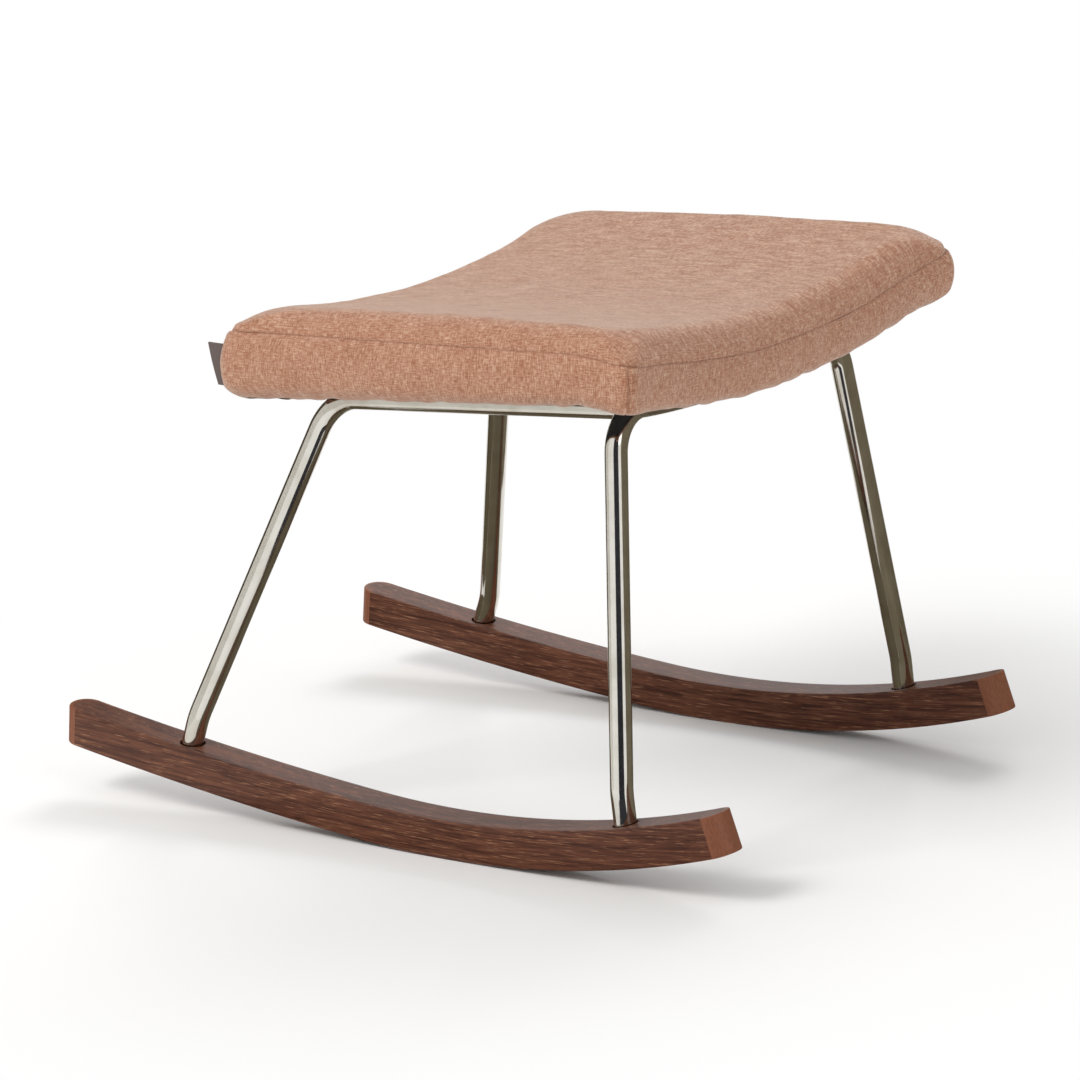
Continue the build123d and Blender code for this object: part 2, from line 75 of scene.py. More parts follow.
# ------------------------------------------------------------------------------ shader maths
class Wire:
    """An output socket of a node tree, as a value for arithmetic."""

    def __init__(self, graph: "Graph", socket: bpy.types.NodeSocket) -> None:
        """Keep the socket and the graph it belongs to."""
        self.graph = graph
        self.socket = socket

    def _math(self, operation: str, first: Any, second: Any = 0.0) -> "Wire":
        """One Math node on two numbers or wires."""
        return self.graph.make("ShaderNodeMath", {"operation": operation}, {0: first, 1: second})

    def __add__(self, other: Any) -> "Wire":
        """Sum."""
        return self._math("ADD", self, other)

    __radd__ = __add__

    def __sub__(self, other: Any) -> "Wire":
        """Difference."""
        return self._math("SUBTRACT", self, other)

    def __rsub__(self, other: Any) -> "Wire":
        """Difference from a number."""
        return self._math("SUBTRACT", other, self)

    def __mul__(self, other: Any) -> "Wire":
        """Product."""
        return self._math("MULTIPLY", self, other)

    __rmul__ = __mul__

    def sine(self) -> "Wire":
        """Sine of the value, in radians."""
        return self._math("SINE", self)

    def smooth(self, step: Sequence[float]) -> "Wire":
        """0 below the step's first number, 1 above its second, and a smooth step between."""
        ends = {"Value": self, "From Min": step[0], "From Max": step[1]}
        return self.graph.make("ShaderNodeMapRange", {"interpolation_type": "SMOOTHSTEP"}, ends)

    def axis(self, index: int) -> "Wire":
        """One component of a vector."""
        return self.graph.make("ShaderNodeSeparateXYZ", {}, {0: self}, index)


@dataclass(frozen=True)
class Pattern:
    """A noise pattern: its cells a metre on each axis, its octaves, their roughness and its swirl."""

    fineness: tuple
    octaves: float = 2.0
    roughness: float = 0.5
    swirl: float = 0.0


class Graph:
    """A node tree, emptied and ready for its own nodes."""

    def __init__(self, tree: bpy.types.NodeTree, output: str) -> None:
        """Empty the tree and add its output.

        Args:
            tree: the tree of a material or a world.
            output: Blender's type name of its output node.
        """
        self.tree = tree
        self.tree.nodes.clear()
        self.output = self.node(output, {}, {})

    def node(self, kind: str, settings: dict, inputs: dict) -> bpy.types.Node:
        """Add one node.

        Args:
            kind: Blender's type name of the node.
            settings: properties set first; "stops" are a colour ramp's (place, colour) pairs.
            inputs: socket name or number to a number, a colour or a Wire.

        Returns:
            The node.
        """
        made = self.tree.nodes.new(kind)
        for name, value in settings.items():
            if name == "stops":
                self._set_stops(made.color_ramp, value)
            else:
                setattr(made, name, value)
        for name, value in inputs.items():
            self.feed(made.inputs[name], value)
        return made

    def make(self, kind: str, settings: dict, inputs: dict, output: Any = 0) -> Wire:
        """Add one node and return one of its outputs as a Wire."""
        return Wire(self, self.node(kind, settings, inputs).outputs[output])

    def feed(self, socket: bpy.types.NodeSocket, value: Any) -> None:
        """Link a Wire to a socket, or set its value.

        Args:
            socket: an input of a node.
            value: a Wire, a number, a vector or a colour of three numbers.
        """
        if isinstance(value, Wire):
            self.tree.links.new(value.socket, socket)
        elif isinstance(value, (tuple, list)) and len(value) == 3 and socket.type == "RGBA":
            socket.default_value = (*value, 1.0)
        else:
            socket.default_value = value

    def show(self, surface: Wire) -> None:
        """Put a shader on the tree's output."""
        self.feed(self.output.inputs[0], surface)

    def looked_at(self) -> Wire:
        """The sum of the light path's camera, glossy and transmission flags.

        Returns:
            1 for what looks at a surface directly, in a reflection or through glass, and 0 for
            the light that comes from it.
        """
        path = self.node("ShaderNodeLightPath", {}, {})
        rays = ("Is Camera Ray", "Is Glossy Ray", "Is Transmission Ray")
        camera, glossy, through = (Wire(self, path.outputs[ray]) for ray in rays)
        return camera + glossy + through

    def vector(self, operation: str, first: Any, second: Any) -> Wire:
        """One Vector Math node on two vectors."""
        return self.make("ShaderNodeVectorMath", {"operation": operation}, {0: first, 1: second})

    def spread(self, value: Wire, share: Sequence[float]) -> Wire:
        """A number as a vector, times a share on each axis."""
        return self.make("ShaderNodeVectorMath", {"operation": "SCALE"}, {0: share, "Scale": value})

    def noise(self, where: Wire, pattern: Pattern, shift: Optional[Wire] = None) -> Wire:
        """Noise around 0.5, at the place times the pattern's fineness, plus the shift.

        Args:
            where: a place in metres.
            pattern: the noise.
            shift: how many cells the pattern is moved by.

        Returns:
            The noise's value.
        """
        cells = self.vector("MULTIPLY", where, pattern.fineness)
        if shift is not None:
            cells = self.vector("ADD", cells, shift)
        inputs = {"Vector": cells, "Scale": 1.0, "Detail": pattern.octaves,
                  "Roughness": pattern.roughness, "Distortion": pattern.swirl}
        return self.make("ShaderNodeTexNoise", {"noise_dimensions": "3D"}, inputs)

    def ramp(self, value: Wire, stops: Sequence) -> Wire:
        """A colour ramp."""
        return self.make("ShaderNodeValToRGB", {"stops": stops}, {0: value})

    def mix(self, share: Any, first: Any, second: Any) -> Wire:
        """Mix two colours."""
        inputs = {0: share, 6: first, 7: second}
        return self.make("ShaderNodeMix", {"data_type": "RGBA"}, inputs, 2)

    @staticmethod
    def _set_stops(ramp: bpy.types.ColorRamp, stops: Sequence) -> None:
        """Write the stops of a colour ramp.

        Args:
            ramp: the ramp, with two stops of its own or more.
            stops: (place, colour) pairs, from 0 to 1.
        """
        while len(ramp.elements) < len(stops):
            ramp.elements.new(1.0)
        for element, (place, colour) in zip(ramp.elements, stops):
            element.position = place
            element.color = (*colour, 1.0)


class MaterialGraph(Graph):
    """The node tree of one material, with a Principled shader on its output."""

    def __init__(self, name: str) -> None:
        """Make the material.

        Args:
            name: its name.
        """
        self.material = bpy.data.materials.new(name)
        self.material.use_nodes = True
        super().__init__(self.material.node_tree, "ShaderNodeOutputMaterial")
        self.shader = self.node("ShaderNodeBsdfPrincipled", {}, {})
        self.show(self.surface())

    def surface(self) -> Wire:
        """The Principled shader, as a value."""
        return Wire(self, self.shader.outputs[0])

    def set(self, **values: Any) -> None:
        """Feed the Principled shader's sockets, with underscores for the spaces in their names."""
        for name, value in values.items():
            self.feed(self.shader.inputs[name.replace("_", " ")], value)

    def place(self) -> Wire:
        """Object coordinates, in metres."""
        return self.make("ShaderNodeTexCoord", {}, {}, "Object")

    def attribute(self, name: str, output: str = "Vector") -> Wire:
        """An attribute of the piece's own mesh."""
        return self.make("ShaderNodeAttribute", {"attribute_name": name}, {}, output)

    def flat_cloth(self) -> Wire:
        """The piece's own UV map, in metres on the flat cloth."""
        return self.make("ShaderNodeUVMap", {"uv_map": "cloth"}, {})

    def bump(self, height: Wire, strength: float, distance: float) -> None:
        """Feed the shader's normal from a height."""
        inputs = {"Height": height, "Strength": strength, "Distance": distance}
        self.set(Normal=self.make("ShaderNodeBump", {}, inputs))


def srgb(red: int, green: int, blue: int) -> tuple:
    """A colour from 0 to 255 values, as the linear numbers that shaders read.

    A channel c from 0 to 1 becomes c / 12.92 up to 0.04045, and above it (c + 0.055) / 1.055 to
    the power of 2.4.

    Args:
        red: its red, from 0 to 255.
        green: its green.
        blue: its blue.

    Returns:
        Three linear numbers.
    """
    channels = np.array((red, green, blue)) / 255.0
    linear = np.where(channels <= 0.04045, channels / 12.92, ((channels + 0.055) / 1.055) ** 2.4)
    return tuple(float(value) for value in linear)


# ------------------------------------------------------------------------------ finishes
@dataclass(frozen=True)
class WalnutFinish:
    """Walnut-stained wood under a satin lacquer, lighter where the rounded ends cut across the grain.

    Reads the piece's own "wood" attribute, which is a place in the plank: along the rocker's arc,
    across it, and up on a line that bends less than the rocker does, so that its edges cut the
    grain; "end" is 1 on the rounded ends. A step is where a noise goes over from 0 to 1.
    """

    dark: tuple = srgb(66, 34, 23)
    middle: tuple = srgb(92, 52, 35)
    light: tuple = srgb(112, 68, 47)
    fleck: tuple = srgb(160, 114, 84)
    end: tuple = srgb(140, 86, 60)
    pore: tuple = srgb(38, 18, 12)
    wander: Pattern = Pattern((7.0, 22.0, 22.0))
    wander_cells: float = 5.0
    growth: Pattern = Pattern((5.0, 230.0, 290.0), 3.0, 0.55, 0.3)
    lines: Pattern = Pattern((32.0, 900.0, 1100.0), 2.0, 0.6)
    flecks: Pattern = Pattern((75.0, 1100.0, 1300.0), 1.0)
    cloud: Pattern = Pattern((9.0, 40.0, 40.0))
    pores: Pattern = Pattern((85.0, 1900.0, 1900.0), 1.0)
    fibres: Pattern = Pattern((1500.0, 1500.0, 260.0))
    streak_places: tuple = (0.40, 0.50, 0.60)
    fleck_step: tuple = (0.57, 0.72)
    fleck_line_step: tuple = (0.42, 0.60)
    fleck_share: float = 0.85
    pore_step: tuple = (0.60, 0.70)
    pore_share: float = 0.5
    fibre_step: tuple = (0.40, 0.66)
    fibre_share: float = 0.35
    end_share: float = 0.88
    gloss: float = 0.32

    def build(self) -> bpy.types.Material:
        """Streaks of growth, fine lines and cloud on a ramp, then flecks, pores and the lighter ends.

        Returns:
            The material.
        """
        graph = MaterialGraph("walnut")
        wood = graph.attribute("wood")
        sway = graph.spread(graph.noise(wood, self.wander) * self.wander_cells, (0.0, 1.0, 1.0))
        lines = graph.noise(wood, self.lines)
        streak = (graph.noise(wood, self.growth, sway) * 0.44 + lines * 0.46
                  + graph.noise(wood, self.cloud) * 0.10)
        colour = graph.ramp(streak, tuple(zip(self.streak_places, (self.dark, self.middle, self.light))))
        flecks = graph.noise(wood, self.flecks).smooth(self.fleck_step)
        flecks = flecks * lines.smooth(self.fleck_line_step) * self.fleck_share
        colour = graph.mix(flecks, colour, self.fleck)
        pores = graph.noise(wood, self.pores).smooth(self.pore_step)
        colour = graph.mix(pores * self.pore_share, colour, self.pore)
        fibres = graph.noise(wood, self.fibres).smooth(self.fibre_step)
        cut = graph.mix(fibres * self.fibre_share, self.end, self.middle)
        colour = graph.mix(graph.attribute("end", "Fac") * self.end_share, colour, cut)
        graph.set(Base_Color=colour, Roughness=0.36 + streak * 0.16, Specular_IOR_Level=self.gloss)
        graph.bump(streak * 0.8 - pores * 0.6, 0.22, 0.0006)
        return graph.material


@dataclass(frozen=True)
class ChromeFinish:
    """Polished, slightly warm chrome plate with faint wiping marks."""

    colour: tuple = srgb(222, 219, 211)
    haze: tuple = srgb(204, 199, 188)
    cloud: Pattern = Pattern((38.0, 38.0, 38.0), 3.0)
    wipe: Pattern = Pattern((90.0, 90.0, 700.0))
    haze_step: tuple = (0.35, 0.75)

    def build(self) -> bpy.types.Material:
        """A clouded plate colour, a little rougher in the cloud and the wiping marks.

        Returns:
            The material.
        """
        graph = MaterialGraph("chrome")
        cloud = graph.noise(graph.place(), self.cloud)
        wipe = graph.noise(graph.place(), self.wipe)
        colour = graph.mix(cloud.smooth(self.haze_step), self.colour, self.haze)
        graph.set(Base_Color=colour, Metallic=1.0, Roughness=0.05 + cloud * 0.05 + wipe * 0.04)
        graph.bump(cloud, 0.04, 0.0004)
        return graph.material


@dataclass(frozen=True)
class ChenilleFinish:
    """Heathered, ribbed chenille cloth in a dusty salmon.

    Reads the piece's own "cloth" map, metres across and along the ribs of each panel, its attribute
    for the seams' painted shade, which is 1 in the seams, and its "top" attribute, which is 1 on the top
    panel, where the nap is brushed and its specks are plainer.
    """

    deep: tuple = srgb(158, 104, 78)
    body: tuple = srgb(184, 135, 109)
    pale: tuple = srgb(212, 175, 150)
    # The seam colour is painted shade: the cloth in the seams' creases is mixed towards it.
    seam: tuple = srgb(134, 84, 66)
    nap: tuple = srgb(240, 230, 222)
    rib: float = 0.0016
    stitch: float = 0.0032
    drift: Pattern = Pattern((120.0, 120.0, 0.0))
    warp: Pattern = Pattern((980.0, 170.0, 0.0))
    weft: Pattern = Pattern((170.0, 980.0, 0.0))
    pile: Pattern = Pattern((1500.0, 1500.0, 0.0), 1.0, 0.6)
    streak: Pattern = Pattern((210.0, 45.0, 0.0))
    patch: Pattern = Pattern((45.0, 30.0, 0.0), 3.0, 0.55)
    speck: Pattern = Pattern((620.0, 330.0, 0.0), 2.0, 0.6)
    speck_mean: float = 0.8
    speck_share: float = 0.34
    tone_places: tuple = (0.40, 0.50, 0.605)
    seam_shade_share: float = 0.62
    thread_share: float = 0.34
    thread_step: tuple = (-0.2, 0.5)

    def build(self) -> bpy.types.Material:
        """Crossed threads, pile, streaks and patches on a ramp, with painted shade in the seams' creases,
        less at each stitch.

        Returns:
            The material.
        """
        graph = MaterialGraph("chenille")
        cloth = graph.flat_cloth()
        across = cloth.axis(0)
        ribs = (across * (TURN / self.rib) + graph.noise(cloth, self.drift) * 9.0).sine() * 0.5 + 0.5
        warp, weft, pile, streak, patch, speck = (
            graph.noise(cloth, pattern)
            for pattern in (self.warp, self.weft, self.pile, self.streak, self.patch, self.speck))
        tone = warp * 0.38 + weft * 0.32 + pile * 0.14 + streak * 0.10 + patch * 0.06
        brushed = graph.attribute("top", "Fac")
        tone = tone + (speck + streak * 0.6 - self.speck_mean) * brushed * self.speck_share
        colour = graph.ramp(tone, tuple(zip(self.tone_places, (self.deep, self.body, self.pale))))
        # Painted shade in the seams' creases, with less of it at each stitch.
        thread = (across * (TURN / self.stitch)).sine().smooth(self.thread_step)
        shade = graph.attribute("crease", "Fac") * (self.seam_shade_share - thread * self.thread_share)
        graph.set(Base_Color=graph.mix(shade, colour, self.seam), Roughness=0.94,
                  Specular_IOR_Level=0.2, Sheen_Weight=1.0, Sheen_Roughness=0.3, Sheen_Tint=self.nap)
        graph.bump(ribs * 0.22 + warp * 0.9 + weft * 0.8 + pile * 0.7, 0.7, 0.0009)
        return graph.material


@dataclass(frozen=True)
class RibbonFinish:
    """Plain woven ribbon, bare on both faces."""

    colour: tuple = srgb(84, 72, 68)
    thread: tuple = srgb(112, 99, 94)
    weft: float = 0.0008
    grain: Pattern = Pattern((2500.0, 2500.0, 0.0), 1.0)

    def build(self) -> bpy.types.Material:
        """Weft threads across the ribbon, with a fine grain.

        Returns:
            The material.
        """
        graph = MaterialGraph("ribbon")
        cloth = graph.flat_cloth()
        weft = (cloth.axis(1) * (TURN / self.weft)).sine() * 0.5 + 0.5
        share = weft * 0.5 + graph.noise(cloth, self.grain) * 0.3
        graph.set(Base_Color=graph.mix(share, self.colour, self.thread), Roughness=0.6)
        graph.bump(weft, 0.3, 0.0002)
        return graph.material


@dataclass(frozen=True)
class DustClothFinish:
    """Thin black non-woven cloth with a pressed dot pattern."""

    colour: tuple = srgb(30, 29, 30)
    fibre: tuple = srgb(58, 57, 58)
    fibres: Pattern = Pattern((900.0, 900.0, 900.0), 3.0, 0.7)
    fibre_step: tuple = (0.45, 0.75)
    dot: float = 0.0028
    dot_step: tuple = (0.35, 0.8)

    def build(self) -> bpy.types.Material:
        """Fibres over black, and dots where the sines of both directions are high together.

        Returns:
            The material.
        """
        graph = MaterialGraph("dust_cloth")
        place = graph.place()
        fibres = graph.noise(place, self.fibres)
        across, along = ((place.axis(index) * (TURN / self.dot)).sine() for index in (0, 1))
        dots = (across * along).smooth(self.dot_step)
        colour = graph.mix(fibres.smooth(self.fibre_step), self.colour, self.fibre)
        graph.set(Base_Color=colour, Roughness=0.9)
        graph.bump(fibres * 0.4 - dots, 0.3, 0.0003)
        return graph.material


@dataclass(frozen=True)
class PlywoodFinish:
    """The bare face veneer of moulded plywood."""

    face: tuple = srgb(205, 172, 128)
    late: tuple = srgb(176, 138, 94)
    grain: Pattern = Pattern((9.0, 120.0, 120.0), 4.0)
    grain_places: tuple = (0.35, 0.6)

    def build(self) -> bpy.types.Material:
        """Long grain on a ramp.

        Returns:
            The material.
        """
        graph = MaterialGraph("plywood")
        grain = graph.noise(graph.place(), self.grain)
        colour = graph.ramp(grain, tuple(zip(self.grain_places, (self.late, self.face))))
        graph.set(Base_Color=colour, Roughness=0.65)
        graph.bump(grain, 0.15, 0.0004)
        return graph.material


@dataclass(frozen=True)
class ZincFinish:
    """Bright zinc plate with a crystalline bloom."""

    bright: tuple = srgb(196, 198, 200)
    dull: tuple = srgb(150, 152, 150)
    bloom: Pattern = Pattern((420.0, 420.0, 420.0))
    bloom_step: tuple = (0.35, 0.7)

    def build(self) -> bpy.types.Material:
        """Dull and rougher where the bloom is.

        Returns:
            The material.
        """
        graph = MaterialGraph("zinc")
        bloom = graph.noise(graph.place(), self.bloom)
        colour = graph.mix(bloom.smooth(self.bloom_step), self.bright, self.dull)
        graph.set(Base_Color=colour, Metallic=1.0, Roughness=0.26 + bloom * 0.2)
        return graph.material


# ------------------------------------------------------------------------------ mesh helpers
def grid_faces(rows: int, columns: int, wrap: bool = True) -> Array:
    """Quads of a grid of points, each (row, column), (row, column + 1), and the same a row on.

    Args:
        rows: rows of points.
        columns: points in a row.
        wrap: whether a row's last point joins its first.

    Returns:
        Indices, one quad a line.
    """
    row = np.arange(rows - 1)[:, None] * columns
    column = np.arange(columns if wrap else columns - 1)[None, :]
    after = (column + 1) % columns
    quads = np.stack((row + column, row + after, row + columns + after, row + columns + column), axis=-1)
    return quads.reshape(-1, 4)


def mesh_piece(name: str, points: Array, faces: Array, attributes: Optional[dict] = None,
               sharp: Optional[float] = None, cloth: Optional[Array] = None) -> bpy.types.Object:
    """Make a closed mesh object from a grid: doubles at seams and poles merge, faces point outwards.

    Args:
        name: the piece's name.
        points: its points, one a line.
        faces: its quads.
        attributes: name to one number or three for each point.
        sharp: angle in degrees over which an edge is sharp.
        cloth: for each corner of each quad, its place on the flat cloth, for the piece's UV map.

    Returns:
        The object, at the origin.
    """
    mesh = bpy.data.meshes.new(name)
    mesh.from_pydata(points.reshape(-1, 3).tolist(), [], faces.tolist())
    for key, values in (attributes or {}).items():
        flat = np.ascontiguousarray(values, dtype=np.float32)
        one_each = flat.size == len(mesh.vertices)
        kind, slot = ("FLOAT", "value") if one_each else ("FLOAT_VECTOR", "vector")
        mesh.attributes.new(key, kind, "POINT").data.foreach_set(slot, flat.ravel())
    if cloth is not None:
        layer = mesh.uv_layers.new(name="cloth")
        layer.uv.foreach_set("vector", np.ascontiguousarray(cloth, dtype=np.float32).ravel())
    work = bmesh.new()
    work.from_mesh(mesh)
    bmesh.ops.remove_doubles(work, verts=work.verts, dist=MERGE_DISTANCE)
    bmesh.ops.recalc_face_normals(work, faces=work.faces)
    work.to_mesh(mesh)
    work.free()
    mesh.shade_smooth()
    if sharp is not None:
        mesh.set_sharp_from_angle(angle=math.radians(sharp))
    piece = bpy.data.objects.new(name, mesh)
    bpy.context.scene.collection.objects.link(piece)
    return piece


def apply_modifiers(piece: bpy.types.Object) -> None:
    """Make a piece's modifiers part of its mesh.

    Args:
        piece: the piece, whose plain mesh is removed.
    """
    bpy.context.view_layer.update()
    graph = bpy.context.evaluated_depsgraph_get()
    mesh = bpy.data.meshes.new_from_object(piece.evaluated_get(graph))
    old = piece.data
    piece.modifiers.clear()
    piece.data = mesh
    mesh.name = piece.name
    bpy.data.meshes.remove(old)


def dress(piece: bpy.types.Object, material: bpy.types.Material) -> None:
    """Give a piece its one material and its place on the body.

    Args:
        piece: the piece.
        material: its one material.
    """
    piece.data.materials.clear()
    piece.data.materials.append(material)
    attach(piece, ROOT)


def unit(vectors: Array) -> Array:
    """Vectors divided by their lengths."""
    return vectors / np.linalg.norm(vectors, axis=-1, keepdims=True)


def rounded_path(corners: Array, radii: Sequence[float], steps: int = 24) -> Array:
    """Straight runs joined by tangent arcs.

    An arc of a given radius starts and ends radius * tan(turn / 2) from its corner, and its centre
    is radius / cos(turn / 2) from the corner along the line that halves the corner's angle.

    Args:
        corners: the polyline's points, one a line.
        radii: one for each inner corner.
        steps: points on an arc.

    Returns:
        Points along the path.
    """
    pieces = [corners[:1]]
    for before, corner, after, radius in zip(corners[:-2], corners[1:-1], corners[2:], radii):
        back, ahead = unit(before - corner), unit(after - corner)
        turn = math.pi - math.acos(float(back @ ahead))
        centre = corner + unit(back + ahead) * radius / math.cos(turn / 2)
        start = corner + back * radius * math.tan(turn / 2) - centre
        angle = np.linspace(0.0, turn, steps)[:, None]
        pieces.append(centre + start * np.cos(angle) - back * radius * np.sin(angle))
    pieces.append(corners[-1:])
    return np.concatenate(pieces)


def tube_rings(path: Array, radius: float, sideways: Array, around: int = 48) -> Array:
    """Circles square to a path, each starting in the direction of the path crossed with a fixed one.

    Args:
        path: points along the middle.
        radius: the circles' radius.
        sideways: a direction that the path never follows.
        around: points on a circle.

    Returns:
        Points as (ring, around, 3).
    """
    ahead = unit(np.gradient(path, axis=0))
    first = unit(np.cross(ahead, sideways))
    second = np.cross(ahead, first)
    angle = np.linspace(0.0, TURN, around, endpoint=False)[None, :, None]
    return path[:, None] + radius * (np.cos(angle) * first[:, None] + np.sin(angle) * second[:, None])


@dataclass(frozen=True)
class Ripple:
    """Gentle unevenness of a cloth: its height, its waves' length and the seed of their draw."""

    height: float
    length: float
    seed: int
    waves: int = 18

    def over(self, u: Array, v: Array) -> Array:
        """Plane waves of about one length in seeded directions, added up, times the height.

        Args:
            u: places in one direction.
            v: places square to it.

        Returns:
            Heights about zero.
        """
        draw = np.random.default_rng(self.seed)
        angle = draw.uniform(0, TURN, self.waves)
        size = self.length * draw.uniform(0.6, 1.7, self.waves)
        phase = draw.uniform(0, TURN, self.waves)
        total = np.zeros(np.broadcast(u, v).shape)
        for heading, wavelength, start in zip(angle, size, phase):
            total += np.sin(TURN * (u * math.cos(heading) + v * math.sin(heading)) / wavelength + start)
        return self.height * (total / math.sqrt(self.waves * 2))


def bell(distance: Array, width: float) -> Array:
    """1 at no distance, falling as e to the minus square of the distance over the width."""
    return np.exp(-((distance / width) ** 2))


def smoothstep(value: Array, low: float, high: float) -> Array:
    """0 below low, 1 above high, 3t^2 - 2t^3 between."""
    share = np.clip((value - low) / (high - low), 0, 1)
    return share * share * (3 - 2 * share)


# ------------------------------------------------------------------------------ the seat's surfaces
@dataclass(frozen=True)
class SeatShape:
    """The seat's surfaces: a board dished across Y that climbs towards +X, and the cushion over it."""

    base_z: float = 0.3508
    slope: float = 0.0559
    dish_radius: float = 0.960
    side_radius: float = 0.520
    side_start: float = 0.110
    rear_x: float = -0.116
    front_x: float = 0.2925
    half_width: float = 0.219
    board_inset: float = 0.010
    board_thickness: float = 0.009
    hem: float = 0.014
    fabric: float = 0.0016
    lip: float = 0.0083
    seam_z: float = 0.3902
    seam_slope: float = 0.0131
    seam_bowl: tuple = (0.0195, 0.0065)
    top_z: float = 0.4148
    top_slope: float = 0.0162
    top_bowl: tuple = (0.0262, -0.0032)
    bowl_y: float = 0.2
    crown: float = 0.0039
    rear_droop: float = 0.0004
    front_droop: float = 0.0090
    droop_reach: float = 0.063
    top_droop: float = 1.2
    low_droop: float = 1.3

    @property
    def middle_x(self) -> float:
        """The station half way along the seat."""
        return (self.rear_x + self.front_x) / 2

    @property
    def half_length(self) -> float:
        """Half the seat's length."""
        return (self.front_x - self.rear_x) / 2

    def dish(self, y: Array, drop: float = 0.0) -> Array:
        """Height of the board's underside over its middle, on a curve that runs drop below it.

        A wide arc in the middle meets a tighter one at each side, tangent to it. Both have their
        centres above, so a curve below the underside has its radii longer by the drop.

        Args:
            y: places across the seat.
            drop: how far the curve runs below the underside.

        Returns:
            Heights.
        """
        turn = math.asin(self.side_start / self.dish_radius)
        shrink = self.dish_radius - self.side_radius
        start = (self.dish_radius + drop) * math.sin(turn)
        inner = np.sqrt((self.dish_radius + drop) ** 2 - np.minimum(np.abs(y), start) ** 2)
        reach = np.maximum(np.abs(y), start) - shrink * math.sin(turn)
        outer = np.sqrt((self.side_radius + drop) ** 2 - reach**2) + shrink * math.cos(turn)
        return self.dish_radius - np.where(np.abs(y) <= start, inner, outer)

    def under(self, x: Array, y: Array, drop: float) -> Array:
        """Points below the board's underside: the dish's height, turned with the slope of the board.

        Args:
            x: places along the board's own sloping plane.
            y: places across it.
            drop: how far below the underside they lie.

        Returns:
            Points, one a line.
        """
        x, y = np.broadcast_arrays(np.asarray(x, float), np.asarray(y, float))
        angle = math.atan(self.slope)
        rise = self.dish(y, drop)
        along = x * math.cos(angle) - rise * math.sin(angle)
        up = self.base_z + x * math.sin(angle) + rise * math.cos(angle)
        return np.stack((along, y, up), axis=-1)

    def board(self, x: Array, y: Array) -> Array:
        """Height of the board's underside over a place on the floor."""
        return self.base_z + self.slope * x + self.dish(y)

    def _bowl(self, y: Array, bowl: tuple) -> Array:
        """The first number times t^2 plus the second times t^4, where t is y over bowl_y."""
        share = (y / self.bowl_y) ** 2
        return bowl[0] * share + bowl[1] * share * share

    def _corner(self, x: Array, y: Array) -> Array:
        """How near a corner a place is: a smooth step along the seat times one across it.

        Args:
            x: places along.
            y: places across.

        Returns:
            Nearly 1 at the four corners, falling to 0 at droop_reach along each edge.
        """
        reach = self.droop_reach
        past = reach / 4
        along = smoothstep(np.abs(x - self.middle_x), self.half_length - reach, self.half_length + past)
        across = smoothstep(np.abs(y), self.half_width - reach, self.half_width + past)
        return along * across

    def droop(self, x: Array, y: Array) -> Array:
        """How far the corners are drawn down, more in front than behind."""
        return self._corner(x, y) * np.where(x > self.middle_x, self.front_droop, self.rear_droop)

    def low(self, x: Array, y: Array) -> Array:
        """The cover's lowest edge, a lip's depth below the board."""
        return self.board(x, y) - self.lip - self.low_droop * self.droop(x, y)

    def seam(self, x: Array, y: Array) -> Array:
        """The seam between the bands and the top panel."""
        return self.seam_z + self.seam_slope * x + self._bowl(y, self.seam_bowl) - self.droop(x, y)

    def top(self, x: Array, y: Array) -> Array:
        """The top panel: a slope and a bowl, crowned by 1 - t^2 along the seat, less the droop.

        Args:
            x: places along.
            y: places across.

        Returns:
            Heights.
        """
        crown = self.crown * (1 - ((x - self.middle_x) / self.half_length) ** 2)
        dished = self.top_z + self.top_slope * x + self._bowl(y, self.top_bowl)
        return dished + crown - self.top_droop * self.droop(x, y)


